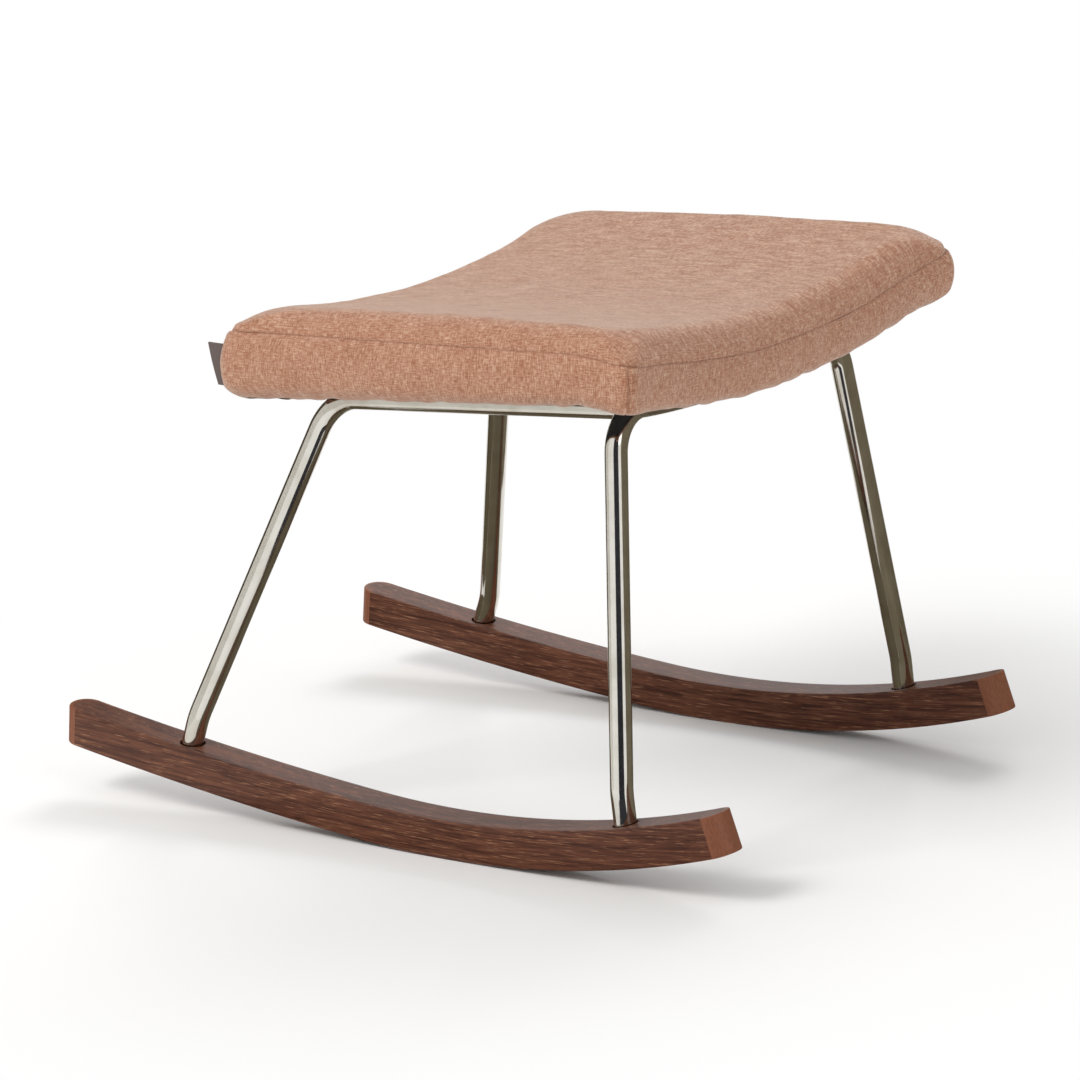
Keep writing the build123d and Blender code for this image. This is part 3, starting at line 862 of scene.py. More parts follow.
# ------------------------------------------------------------------------------ rockers
@dataclass
class Rocker:
    """One curved wooden rocker, with the sockets of its two legs."""

    side: Side
    rest_x: float = 0.065
    front_radius: float = 0.950
    rear_radius: float = 4.300
    rear_arc_start: float = 0.086
    half_length: float = 0.347
    half_width: float = 0.015
    thickness: float = 0.0325
    middle_y: float = 0.194
    edge: float = 0.0009
    socket_radius: float = 0.0106
    socket_depth: float = 0.014
    socket_floor: float = 0.0085
    bolt_radius: float = 0.0033
    counterbore_radius: float = 0.008
    # The sockets' cutter, from over the rocker's top to under its underside.
    cutter_top: float = 0.02
    cutter_deep: float = 0.06
    cutter_steps: int = 64
    rise_share: float = 0.45
    plank_offset: float = 0.05
    side_steps: int = 200
    nose_steps: int = 28
    nose_turn: float = 0.999
    edge_steps: int = 5
    wall_steps: int = 7
    flat_shares: tuple = (1.0, 0.66, 0.33)
    sharp: float = 35.0

    def _turn(self) -> float:
        """The angle of the front arc where the rear arc takes over."""
        return math.asin(self.rear_arc_start / self.front_radius)

    def at(self, along: Array, rise: Array) -> tuple:
        """A place in the straightened rocker, laid on its arcs.

        In front of the joint the angle is along over the front radius; behind it the rear radius
        counts on from there. The point is radius less rise from the arc's centre, at that angle.

        Args:
            along: length of the underside from the rest point.
            rise: height over the underside.

        Returns:
            Its x, z and angle.
        """
        turn = self._turn()
        joint = -turn * self.front_radius
        ahead = along >= joint
        angle = np.where(ahead, along / self.front_radius, -turn + (along - joint) / self.rear_radius)
        grow = self.rear_radius - self.front_radius
        radius = np.where(ahead, self.front_radius, self.rear_radius)
        centre_x = self.rest_x + np.where(ahead, 0.0, grow * math.sin(turn))
        centre_z = self.front_radius + np.where(ahead, 0.0, grow * math.cos(turn))
        reach = radius - rise
        return centre_x + reach * np.sin(angle), centre_z - reach * np.cos(angle), angle

    def along(self, x: float) -> float:
        """The underside's length from the rest point to a station: the arc's radius times its angle.

        Args:
            x: the station.

        Returns:
            The length, less than 0 behind the rest point.
        """
        turn = self._turn()
        if x >= self.rest_x - self.rear_arc_start:
            return self.front_radius * math.asin((x - self.rest_x) / self.front_radius)
        centre_x = self.rest_x + (self.rear_radius - self.front_radius) * math.sin(turn)
        angle = math.asin((x - centre_x) / self.rear_radius)
        return -turn * self.front_radius + (angle + turn) * self.rear_radius

    def _outline(self) -> tuple:
        """The plan outline: one straight side, the front nose's half turn, the other side and nose.

        Returns:
            Each point's station, and its unit step along and across.
        """
        nose = self.half_length - self.half_width
        rear, front = self.along(-nose), self.along(nose)
        line = np.linspace(rear, front, self.side_steps)
        half_turn = np.linspace(-math.pi / 2, math.pi / 2, self.nose_steps)
        half_turn[[0, -1]] *= self.nose_turn
        zero, one = np.zeros_like(line), np.ones_like(line)
        front_nose, rear_nose = np.full(self.nose_steps, front), np.full(self.nose_steps, rear)
        station = np.concatenate((line, front_nose, line[::-1], rear_nose))
        along = np.concatenate((zero, np.cos(half_turn), zero, -np.cos(half_turn)))
        across = np.concatenate((-one, np.sin(half_turn), one, -np.sin(half_turn)))
        return station, along, across

    def _profile(self) -> tuple:
        """The section's half outline: across the underside, round both edges, across the top.

        Returns:
            Each point's inset from the side and its rise.
        """
        bend = np.linspace(0, math.pi / 2, self.edge_steps)
        inward, upward = self.edge * (1 - np.sin(bend)), self.edge * (1 - np.cos(bend))
        flat = self.half_width * np.array(self.flat_shares)
        walls = np.linspace(self.edge, self.thickness - self.edge, self.wall_steps)[1:-1]
        inset = np.concatenate((flat, inward, np.zeros_like(walls), inward[::-1], flat[::-1]))
        top = np.full(len(flat), self.thickness)
        rise = np.concatenate((np.zeros(len(flat)), upward, walls, self.thickness - upward[::-1], top))
        return inset, rise

    def socket_line(self, foot_x: float, top: Array) -> tuple:
        """A leg's foot on the rocker's top, and the line up from it towards the leg's top corner.

        Args:
            foot_x: the foot's station.
            top: the leg's top corner.

        Returns:
            The place and the direction.
        """
        x, z, _ = self.at(np.array(self.along(foot_x)), np.array(self.thickness))
        mouth = np.array((float(x), self.side.value * self.middle_y, float(z)))
        lean = unit(np.array((top[0] - mouth[0], 0.0, top[2] - mouth[2])))
        return mouth, lean

    def _cutter(self, mouth: Array, lean: Array) -> bpy.types.Object:
        """Socket, bolt hole and counterbore as one turned shape: a stepped radius about the foot's line.

        Args:
            mouth: the foot's place on the rocker's top.
            lean: the leg's direction.

        Returns:
            The shape to cut away.
        """
        floor = self.socket_depth + self.socket_floor
        steps = ((0.0, self.cutter_top), (self.socket_radius, self.cutter_top),
                 (self.socket_radius, -self.socket_depth), (self.bolt_radius, -self.socket_depth),
                 (self.bolt_radius, -floor), (self.counterbore_radius, -floor),
                 (self.counterbore_radius, -self.cutter_deep), (0.0, -self.cutter_deep))
        radius, height = np.array(steps).T
        angle = np.linspace(0, TURN, self.cutter_steps, endpoint=False)
        across = np.array((0.0, 1.0, 0.0))
        other = np.cross(across, lean)
        circle = np.cos(angle)[:, None] * other + np.sin(angle)[:, None] * across
        points = mouth + height[:, None, None] * lean + radius[:, None, None] * circle[None]
        return mesh_piece("socket_cutter", points, grid_faces(len(radius), len(angle)))

    def build(self, lines: Sequence[tuple], finish: bpy.types.Material) -> bpy.types.Object:
        """The rocker's skin as outline times profile, laid along its two arcs, with its sockets cut.

        Args:
            lines: the mouth and direction of each leg's socket.
            finish: the wood.

        Returns:
            The finished piece.
        """
        station, along, across = self._outline()
        inset, rise = self._profile()
        reach = (self.half_width - inset)[:, None]
        length = station[None] + reach * along[None]
        wide = reach * across[None]
        high = np.broadcast_to(rise[:, None], length.shape)
        x, z, _ = self.at(length, high)
        points = np.stack((x, wide + self.side.value * self.middle_y, z), axis=-1)
        plank = self.rise_share * high + (1 - self.rise_share) * z
        wood = np.stack((length, wide + self.plank_offset * self.side.value, plank), axis=-1)
        on_nose, on_wall = along[None] != 0, (inset <= self.edge)[:, None]
        name = "rocker_" + self.side.name.lower()
        features = {"wood": wood, "end": (on_nose & on_wall).astype(float)}
        piece = mesh_piece(name + "_wood", points, grid_faces(*length.shape), features, self.sharp)
        for line in lines:
            cutter = self._cutter(*line)
            cut = piece.modifiers.new("socket", "BOOLEAN")
            cut.operation, cut.solver, cut.object = "DIFFERENCE", "EXACT", cutter
            apply_modifiers(piece)
            bpy.data.objects.remove(cutter)
        piece.data.set_sharp_from_angle(angle=math.radians(self.sharp))
        dress(piece, finish)
        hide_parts(name)
        return piece


# ------------------------------------------------------------------------------ tube frame
@dataclass(frozen=True)
class Leg:
    """Where one leg stands on its rocker and where it turns under the seat, on the left side."""

    foot_x: float
    top: Array


@dataclass
class TubeFrame:
    """The bent chrome tubes: a hoop in front, a leg with its side rail on each side, a cross rail."""

    seat: SeatShape
    rockers: dict
    radius: float = 0.009
    wall: float = 0.0015
    front_bend: float = 0.034
    rear_bend: float = 0.043
    foot_bend: float = 0.060
    foot_height: float = 0.025
    front_foot_x: float = 0.2460
    rear_foot_x: float = -0.2130
    front_top: tuple = (0.226, 0.148)
    rear_top: tuple = (-0.0925, 0.111)
    side_rail_front_y: float = 0.128
    side_rail_sag: float = 0.0003
    cross_straight: float = 0.006
    rear_cross_x: float = -0.048
    under_cloth: float = 0.0009
    cross_steps: int = 49
    heading_step: float = 1e-5
    sharp: float = 50.0

    def __post_init__(self) -> None:
        """Work out the legs' corners, a tube's radius under the cloth that covers the board."""
        self.drop = self.radius + self.under_cloth
        self.front = Leg(self.front_foot_x, self.seat.under(*self.front_top, self.drop))
        self.rear = Leg(self.rear_foot_x, self.seat.under(*self.rear_top, self.drop))

    def feet(self, side: Side) -> list:
        """The mouth and direction of both sockets of one rocker."""
        return [self.rockers[side].socket_line(leg.foot_x, leg.top) for leg in (self.front, self.rear)]

    def _leg_points(self, leg: Leg, side: Side) -> list:
        """The tube's end in its socket, the bend over the rocker and the corner under the seat.

        Args:
            leg: the leg.
            side: the side it stands on.

        Returns:
            Three points.
        """
        rocker = self.rockers[side]
        mouth, lean = rocker.socket_line(leg.foot_x, leg.top)
        top = leg.top * np.array((1.0, side.value, 1.0))
        return [mouth - rocker.socket_depth * lean, mouth + self.foot_height * lean, top]

    def _hoop_path(self) -> Array:
        """Up the right leg, across under the seat along the dish, and down the left leg.

        The corner of each leg lies on the tangent of the cross arc's end, straight above the foot.

        Returns:
            Points along the tube.
        """
        half = self.front_top[1] - self.front_bend - self.cross_straight
        places = np.linspace(-half, half, self.cross_steps)
        across = self.seat.under(self.front_top[0], places, self.drop)
        start = across[0]
        heading = unit(self.seat.under(self.front_top[0], -half + self.heading_step, self.drop) - start)
        end, bend, top = self._leg_points(self.front, Side.RIGHT)
        corner = start - heading * (start[1] - top[1]) / heading[1]
        right = rounded_path(np.array((end, bend, corner, start)), (self.foot_bend, self.front_bend))
        left = (right * np.array((1.0, -1.0, 1.0)))[::-1]
        return np.concatenate((right, across[1:-1], left))

    def _side_path(self, side: Side) -> Array:
        """Up the rear leg and forward under the seat to the hoop.

        Args:
            side: the leg's side.

        Returns:
            Points along the tube.
        """
        sag = np.array((0.0, 0.0, self.side_rail_sag))
        end, bend, top = self._leg_points(self.rear, side)
        y = side.value * self.side_rail_front_y
        front = self.seat.under(self.front_top[0], y, self.drop + self.side_rail_sag)
        return rounded_path(np.array((end, bend, top - sag, front)), (self.foot_bend, self.rear_bend))

    def _cross_path(self) -> Array:
        """From one side rail to the other, along the dish.

        Returns:
            Points along the tube.
        """
        share = (self.rear_cross_x - self.rear_top[0]) / (self.front_top[0] - self.rear_top[0])
        half = self.rear_top[1] + share * (self.side_rail_front_y - self.rear_top[1])
        return self.seat.under(self.rear_cross_x, np.linspace(-half, half, self.cross_steps), self.drop)

    def _tube(self, name: str, path: Array, sideways: tuple,
              finish: bpy.types.Material) -> bpy.types.Object:
        """One open-ended tube: its outer skin, then its bore back to the start.

        Args:
            name: the node it replaces.
            path: points along its middle.
            sideways: a direction that the path never follows.
            finish: the chrome.

        Returns:
            The finished piece.
        """
        fixed = np.array(sideways, float)
        outer = tube_rings(path, self.radius, fixed)
        inner = tube_rings(path, self.radius - self.wall, fixed)
        points = np.concatenate((outer, inner[::-1], outer[:1]))
        piece = mesh_piece(name + "_tube", points, grid_faces(*points.shape[:2]), sharp=self.sharp)
        dress(piece, finish)
        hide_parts(name)
        return piece

    def build(self, finish: bpy.types.Material) -> list:
        """All the tubes.

        Args:
            finish: the chrome.

        Returns:
            The hoop, both rear legs and the cross rail.
        """
        along, across = (1.0, 0.0, 0.0), (0.0, 1.0, 0.0)
        pieces = [self._tube("front_leg_hoop", self._hoop_path(), along, finish)]
        for side in Side:
            name = "rear_leg_" + side.name.lower()
            pieces.append(self._tube(name, self._side_path(side), across, finish))
        pieces.append(self._tube("rear_cross_rail", self._cross_path(), along, finish))
        return pieces


# ------------------------------------------------------------------------------ cushion
def square_outline(share: Array, quarter: Array) -> tuple:
    """Round a square: along each side, then through a quarter turn about the corner after it.

    Args:
        share: a side's places, from -1 to 1.
        quarter: a corner's angles, counted from the outward direction of the side before it.

    Returns:
        Each column's place, from -1 to 1 in both directions, and its outward direction.
    """
    places, outs = [], []
    for turn in np.arange(4) * math.pi / 2:
        cos, sin = round(math.cos(turn)), round(math.sin(turn))
        side = np.stack((cos - sin * share, sin + cos * share), axis=-1)
        corner = np.stack((np.cos(turn + quarter), np.sin(turn + quarter)), axis=-1)
        places += [side, np.broadcast_to((cos - sin, sin + cos), corner.shape)]
        outs += [np.broadcast_to((cos, sin), side.shape), corner]
    return np.concatenate(places).astype(float), np.concatenate(outs).astype(float)


class CushionGrid(NamedTuple):
    """The cushion's places as (row, column), and the numbers of three of its rows."""

    x: Array
    y: Array
    z: Array
    band_start: int
    crown_start: int
    crown_end: int

    @property
    def rows(self) -> Array:
        """The rows' numbers, as (row, 1)."""
        return np.arange(len(self.x))[:, None]

    @property
    def skin(self) -> Array:
        """1 on the rows that show and 0 on those under the board, as (row, 1)."""
        return (self.rows >= self.band_start).astype(float)

    @property
    def on_band(self) -> Array:
        """1 on the bands' rows and 0 on the others, as (row, 1)."""
        return self.skin * (self.rows < self.crown_start)


@dataclass
class Cushion:
    """The upholstered cushion: four bands and a top panel sewn along a seam, hemmed under the board.

    Its surface is a grid. A column runs from the middle of the recess that takes the board, out
    along the underside, up the band and over the edge to the middle of the top. A row is a rounded
    rectangle in plan, given by how far it is set in from the widest outline, its corner radius and
    its height as a share of the way between two of the seat's surfaces.
    """

    seat: SeatShape
    lean: float = 0.115
    # Columns: how many on a side, and shares of an eighth of a turn beside a corner's middle.
    per_side: int = 92
    corner_columns: tuple = (0.04, 0.2, 0.4, 0.6, 0.8)
    # The outline's corners: how round they are, how much rounder behind, and how far they stand out.
    corner_radius: float = 0.009
    rear_corners: float = 1.9
    ear: float = 0.0044
    ear_fade: float = 0.040
    ear_power: int = 6
    # Under the board: the recess, the hem's corner radii and turned edge, and the start of the lip.
    recess_scales: tuple = (0.0, 0.35, 0.7, 1.0)
    recess_radius: float = 0.012
    hem_radii: tuple = (0.006, 0.008, 0.010)
    hem_bend: float = 0.006
    hem_end: float = 0.001
    lip_outset: float = 0.0005
    lip_rise: float = 0.0018
    # Up the band: the rolled edge, even rows, and closer ones by the seam as shares of the height.
    roll: float = 0.0095
    roll_rows: int = 11
    roll_share: float = 0.2
    band_rows: int = 20
    band_share: float = 0.94
    seam_shares: tuple = (0.965, 0.98, 0.99, 1.0)
    band_height: float = 0.045
    barrel: float = 0.0040
    # Over the edge: the angle where the ellipse starts, its reach in and its rise, and its rows,
    # which are close together for the first near_turn of it.
    crown_angle: float = 0.40
    crown_long: float = 0.026
    crown_height: float = 0.0175
    crown_round: float = 0.020
    near_rows: int = 24
    near_power: float = 1.4
    near_turn: float = 0.36
    far_rows: int = 20
    top_rows: int = 46
    # Seams: the groove, the ridge beside it with its width as a share of its offset, and the
    # upright ones at the corners.
    seam_depth: float = 0.0007
    seam_width: float = 0.0010
    ridge_height: float = 0.0009
    ridge_offset: float = 0.0065
    ridge_width: float = 0.42
    upright_width: float = 0.09
    upright_depth: float = 0.0012
    # Unevenness: waves round the lower edge, and ripples of the whole skin and of the bands.
    scallop_height: float = 0.00025
    scallop_waves: tuple = (31, 38, 47, 59, 71)
    scallop_starts: tuple = (0.4, 2.1, 4.4, 1.3, 3.6)
    swell: Ripple = Ripple(0.0007, 0.13, 3)
    dimples: Ripple = Ripple(0.00022, 0.035, 5)
    band_swell: Ripple = Ripple(0.0006, 0.075, 7)
    band_dimples: Ripple = Ripple(0.0002, 0.022, 9)
    band_stretch: float = 0.8
    # What the finish reads: the painted shade of the seams' creases, the brushed nap, and metres between
    # the flat panels.
    crease_shade_rows: float = 1.5
    crease_shade_upright: float = 0.6
    brushed_rows: int = 18
    panel_shift: float = 3.0
    top_shift: float = 20.0

    def __post_init__(self) -> None:
        """Lay the columns round the outline, with each one's panel and how its corner radius grows.

        A side's columns run straight from corner to corner. A corner's columns turn a quarter about
        one place, with three close together in its middle for the upright seam.
        """
        share = np.linspace(-1, 1, self.per_side)
        half = np.array(self.corner_columns)
        quarter = np.concatenate((-half[::-1], (0.0,), half)) * math.pi / 4
        self.place, self.out = square_outline(share, math.pi / 4 + quarter)
        panel = np.arange(4)[:, None]
        corner_panel = np.where(quarter < 0, panel, (panel + 1) % 4)
        self.panel = np.hstack((panel + np.zeros_like(share), corner_panel)).ravel()
        grow = np.array((1.0, self.rear_corners, self.rear_corners, 1.0))[:, None]
        before = np.roll(grow, 1, axis=0)
        side_grow = before + (grow - before) / 2 * (share + 1)
        self.grow = np.hstack((side_grow, grow + np.zeros_like(quarter))).ravel()
        slant = np.abs(self.out[:, 0]) - np.abs(self.out[:, 1])
        self.upright = bell(slant, self.upright_width)

    def _plan(self, inset: Sequence[float], radius: Sequence[float]) -> tuple:
        """Rows in plan: corner centres plus the radius along the outward direction.

        The rear corners' radii are larger, and a side's columns go over from one to the other. The
        outline stands out by the ear at each corner, by a power of the place along a side, and less
        so further in.

        Args:
            inset: how far each row is set in from the widest outline.
            radius: each row's corner radius.

        Returns:
            The x and the y of every point, as (row, column).
        """
        inset = np.asarray(inset, float)[:, None]
        radii = (np.asarray(radius, float)[:, None] * self.grow)[..., None]
        nearness = np.abs(self.place[:, 0] * self.place[:, 1]) ** self.ear_power
        ears = self.ear * np.clip(1 - inset / self.ear_fade, 0, 1) * nearness
        half = np.array((self.seat.half_length, self.seat.half_width))
        reach = half - inset[..., None] - radii + ears[..., None]
        plan = self.place * reach + self.out * radii
        return plan[..., 0] + self.seat.middle_x, plan[..., 1]

    def _drawn_in(self, x: Array, y: Array, scales: Sequence[float]) -> tuple:
        """One row in plan, drawn together on the seat's middle.

        Args:
            x: its places along.
            y: its places across.
            scales: how wide each of the new rows is, as a share of it.

        Returns:
            The x and the y of every point, as (row, column).
        """
        scale = np.asarray(scales)[:, None]
        middle = self.seat.middle_x
        return middle + (x - middle) * scale, y * scale

    def _band_rows(self) -> tuple:
        """Rows up the band.

        The band is a barrel, set in by the square of the distance towards both edges. Its lower
        edge is rolled under by a quarter round, and its last rows draw in to the seam's groove.

        Returns:
            Each row's inset, and its share of the height from the low edge to the seam.
        """
        bend = np.linspace(0, math.pi / 2, self.roll_rows)
        rolled = self.roll_share * (1 - np.cos(bend))
        upright = np.linspace(self.roll_share, self.band_share, self.band_rows)[1:]
        share = np.concatenate((rolled, upright, self.seam_shares))
        inset = np.zeros_like(share)
        inset[: self.roll_rows] = self.roll * (1 - np.sin(bend))
        groove = self.seam_depth * bell((1 - share) * self.band_height, self.seam_width)
        return inset + self.barrel * (2 * share - 1) ** 2 + groove, share

    def _crown_rows(self) -> tuple:
        """Rows over the edge.

        The upper part of a quarter ellipse that starts as steep as the band ends, with a raised
        ridge where the seam's turned-in cloth lies, and the seam's groove at its start.

        Returns:
            Each row's inset, and its share of the height from the seam to the top.
        """
        first = self.crown_angle
        near = np.linspace(0, 1, self.near_rows)[1:] ** self.near_power * self.near_turn
        far = np.linspace(self.near_turn, math.pi / 2 - first, self.far_rows)[1:]
        angle = first + np.concatenate((near, far))
        inset = self.crown_long * (math.cos(first) - np.cos(angle))
        share = (np.sin(angle) - math.sin(first)) / (1 - math.sin(first))
        path = np.hypot(inset, share * self.crown_height)
        ridge = self.ridge_height * bell(path - self.ridge_offset, self.ridge_offset * self.ridge_width)
        groove = self.seam_depth * bell(path, self.seam_width)
        return inset + self.barrel + groove - ridge, share

    def _around(self) -> Array:
        """Length round the widest outline.

        Returns:
            The length to each column, and the whole length last.
        """
        x, y = self._plan((0.0,), (self.corner_radius,))
        steps = np.hypot(np.diff(x[0], append=x[0, 0]), np.diff(y[0], append=y[0, 0]))
        return np.concatenate(((0.0,), np.cumsum(steps)))

    def _scallop(self) -> Array:
        """The lower edge's slight waviness, from the pull of the staples: sines round the outline.

        Returns:
            One height a column.
        """
        around = self._around()
        turns = TURN * around[:-1, None] / around[-1] * self.scallop_waves + self.scallop_starts
        return self.scallop_height * np.sin(turns).sum(axis=1)

    def _grid(self) -> CushionGrid:
        """Every row of the plain grid.

        They are, in order, the recess for the board, the hem's upper side and underside, the start
        of the lip, the band, the crown over the edge, and the top.

        Returns:
            The grid.
        """
        seat = self.seat
        rim, deep = seat.board_inset, seat.board_inset + seat.hem
        band_inset, band_share = self._band_rows()
        crown_inset, crown_share = self._crown_rows()
        recess = self._drawn_in(*self._plan((rim,), (self.recess_radius,)), self.recess_scales)
        hem_top = self._plan((rim, deep), (self.recess_radius, self.hem_radii[0]))
        hem_under = self._plan((deep, deep - self.hem_bend, rim + self.hem_end), self.hem_radii)
        lip = self._plan((rim - self.lip_outset,), self.hem_radii[-1:])
        band = self._plan(band_inset, np.full(len(band_inset), self.corner_radius))
        crown_radius = self.corner_radius + self.crown_round * (crown_inset / crown_inset[-1])
        crown = self._plan(crown_inset, crown_radius)
        top = self._drawn_in(crown[0][-1], crown[1][-1], np.linspace(1, 0, self.top_rows)[1:])
        low, seam = seat.low(*band) + self._scallop(), seat.seam(*crown)
        heights = (
            seat.board(*recess) + seat.board_thickness,
            seat.board(*hem_top),
            seat.board(*hem_under) - seat.fabric,
            seat.low(*lip) + self.lip_rise,
            low + (seat.seam(*band) - low) * band_share[:, None],
            seam + (seat.top(*crown) - seam) * crown_share[:, None],
            seat.top(*top),
        )
        plans = (recess, hem_top, hem_under, lip, band, crown, top)
        x, y = (np.concatenate([plan[axis] for plan in plans]) for axis in (0, 1))
        band_start = sum(len(height) for height in heights[:4])
        crown_start = band_start + len(band_share)
        crown_end = crown_start + len(crown_share) - 1
        return CushionGrid(x, y, np.concatenate(heights), band_start, crown_start, crown_end)

    def _shaped(self, grid: CushionGrid) -> Array:
        """The grid's points with the upright seams drawn in, the lean and the ripples.

        A bell about each corner's middle draws the bands in. The skin leans forwards by its height
        over the low edge times the lean. The ripples move the skin up and the bands out.

        Args:
            grid: the plain grid.

        Returns:
            Points as (row, column, 3).
        """
        out_x, out_y = self.out.T
        drawn = self.upright * self.upright_depth
        low = self.seat.low(grid.x, grid.y)
        x = grid.x - out_x * drawn * grid.on_band + self.lean * np.maximum(grid.z - low, 0) * grid.skin
        y = grid.y - out_y * drawn * grid.on_band
        z = grid.z + grid.skin * (self.swell.over(x, y) + self.dimples.over(x, y))
        side = self.band_swell.over(x + y, self.band_stretch * z) + self.band_dimples.over(x + y, z)
        x = x + out_x * side * grid.on_band
        y = y + out_y * side * grid.on_band
        return np.stack((x, y, z), axis=-1)

    def _features(self, grid: CushionGrid) -> dict:
        """What the cloth's finish reads.

        The painted shade of the crease is a bell over the rows about the seam, or a share of the upright
        seams' bell where that is more. The top's nap goes over smoothly from the crown's rows.

        Args:
            grid: the plain grid.

        Returns:
            Attribute name to one number for each point.
        """
        # Painted shade: how far the cloth's colour is darkened in the seams' creases.
        crease = bell(grid.rows - (grid.crown_start - 0.5), self.crease_shade_rows)
        crease = np.maximum(crease, self.crease_shade_upright * self.upright * grid.on_band)
        rows = np.broadcast_to(grid.rows, grid.x.shape)
        top = smoothstep(rows, grid.crown_start + self.brushed_rows, grid.crown_end)
        return {"crease": crease, "top": top}

    def _flat(self, points: Array, grid: CushionGrid) -> Array:
        """Each quad corner's place on its flat panel: round and up the bands, across and along the top.

        The top's edge is unrolled. A point over it moves out by how much further it is from the
        crown's end along the skin than in plan.

        Args:
            points: the finished points.
            grid: the grid that they come from.

        Returns:
            Places in metres, as (row, column, corner, 2).
        """
        rows, columns = points.shape[:2]
        step = np.array(((0, 0), (0, 1), (1, 1), (1, 0)))
        row = np.arange(rows - 1)[:, None, None] + step[:, 0]
        column = np.arange(columns)[None, :, None] + step[:, 1]
        row, column = np.broadcast_arrays(row, column)
        along = self._around()[column] + self.panel_shift * self.panel[:, None]
        band = np.stack((along, points[row, column % columns, 2]), axis=-1)
        steps = np.linalg.norm(np.diff(points, axis=0), axis=-1)
        steps[: grid.crown_start - 1] = 0
        run = np.concatenate((np.zeros((1, columns)), np.cumsum(steps, axis=0)))
        end = grid.crown_end
        in_plan = np.linalg.norm((points[end] - points)[..., :2], axis=-1)
        spare = np.clip(run[end] - run, 0, None) - in_plan
        spare[end:] = 0
        unrolled = points[..., :2] + self.out * spare[..., None]
        top = unrolled[row, column % columns][..., ::-1] + self.top_shift
        on_top = np.arange(rows - 1)[:, None, None, None] >= grid.crown_start - 1
        return np.where(on_top, top, band)

    def build(self, finish: bpy.types.Material) -> bpy.types.Object:
        """The whole cushion as one closed piece.

        Args:
            finish: the cover's cloth.

        Returns:
            The finished piece.
        """
        grid = self._grid()
        points = self._shaped(grid)
        faces = grid_faces(*grid.x.shape)
        cloth = self._flat(points, grid)
        piece = mesh_piece("cushion", points, faces, self._features(grid), cloth=cloth)
        dress(piece, finish)
        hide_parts("seat_foam", "cover_top_panel", "cover_front_band", "cover_left_band",
                    "cover_rear_band", "cover_right_band")
        return piece


# ------------------------------------------------------------------------------ dust cover
@dataclass
class DustCover:
    """Thin black cloth stapled over the hem, which hides the board from below."""

    seat: SeatShape
    edge: float = 0.0032
    thickness: float = 0.0008
    gap: float = 0.0001
    corner_radius: float = 0.004
    per_side: int = 60
    per_corner: int = 5
    rings: int = 14
    # The innermost outline's distance inside the hem, and how wide the step down over the hem is.
    margin: float = 0.012
    step: float = 0.0015
    dish_length: float = 1.01
    sharp: float = 60.0

    def build(self, finish: bpy.types.Material) -> bpy.types.Object:
        """The cloth's upper side from its middle to its edge, then its underside back.

        The rings inside the hem are the innermost outline drawn together on the middle; the
        outer ones step down over the hem. Each point lies its ring's depth below the board.

        Args:
            finish: the black cloth.

        Returns:
            The finished piece.
        """
        seat = self.seat
        quarter = np.linspace(0, math.pi / 2, self.per_corner + 2)[1:-1]
        place, out = square_outline(np.linspace(-1, 1, self.per_side), quarter)
        half = np.array((seat.half_length, seat.half_width))
        insets = (seat.hem + self.margin, seat.hem + self.step, seat.hem, seat.hem / 2, self.edge)
        insets = (np.array(insets) + seat.board_inset)[:, None, None]
        depth = np.array((0, 0, seat.fabric, seat.fabric, seat.fabric)) + self.gap
        rings = place * (half - self.corner_radius - insets) + out * self.corner_radius
        inner = rings[:1] * np.linspace(0, 1, self.rings)[:-1, None, None]
        plan = np.concatenate((inner, rings))
        drop = np.concatenate((np.full(len(inner), self.gap), depth))[:, None]
        x, y = plan[..., 0] + seat.middle_x, plan[..., 1]
        upper = np.stack((x, y, seat.board(x, y) - drop), axis=-1)
        lower = upper - np.array((0, 0, self.thickness))
        points = np.concatenate((upper, lower[::-1]))
        faces = grid_faces(*points.shape[:2])
        piece = mesh_piece("dust_cover_cloth", points, faces, sharp=self.sharp)
        dress(piece, finish)
        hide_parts("dust_cover")
        return piece


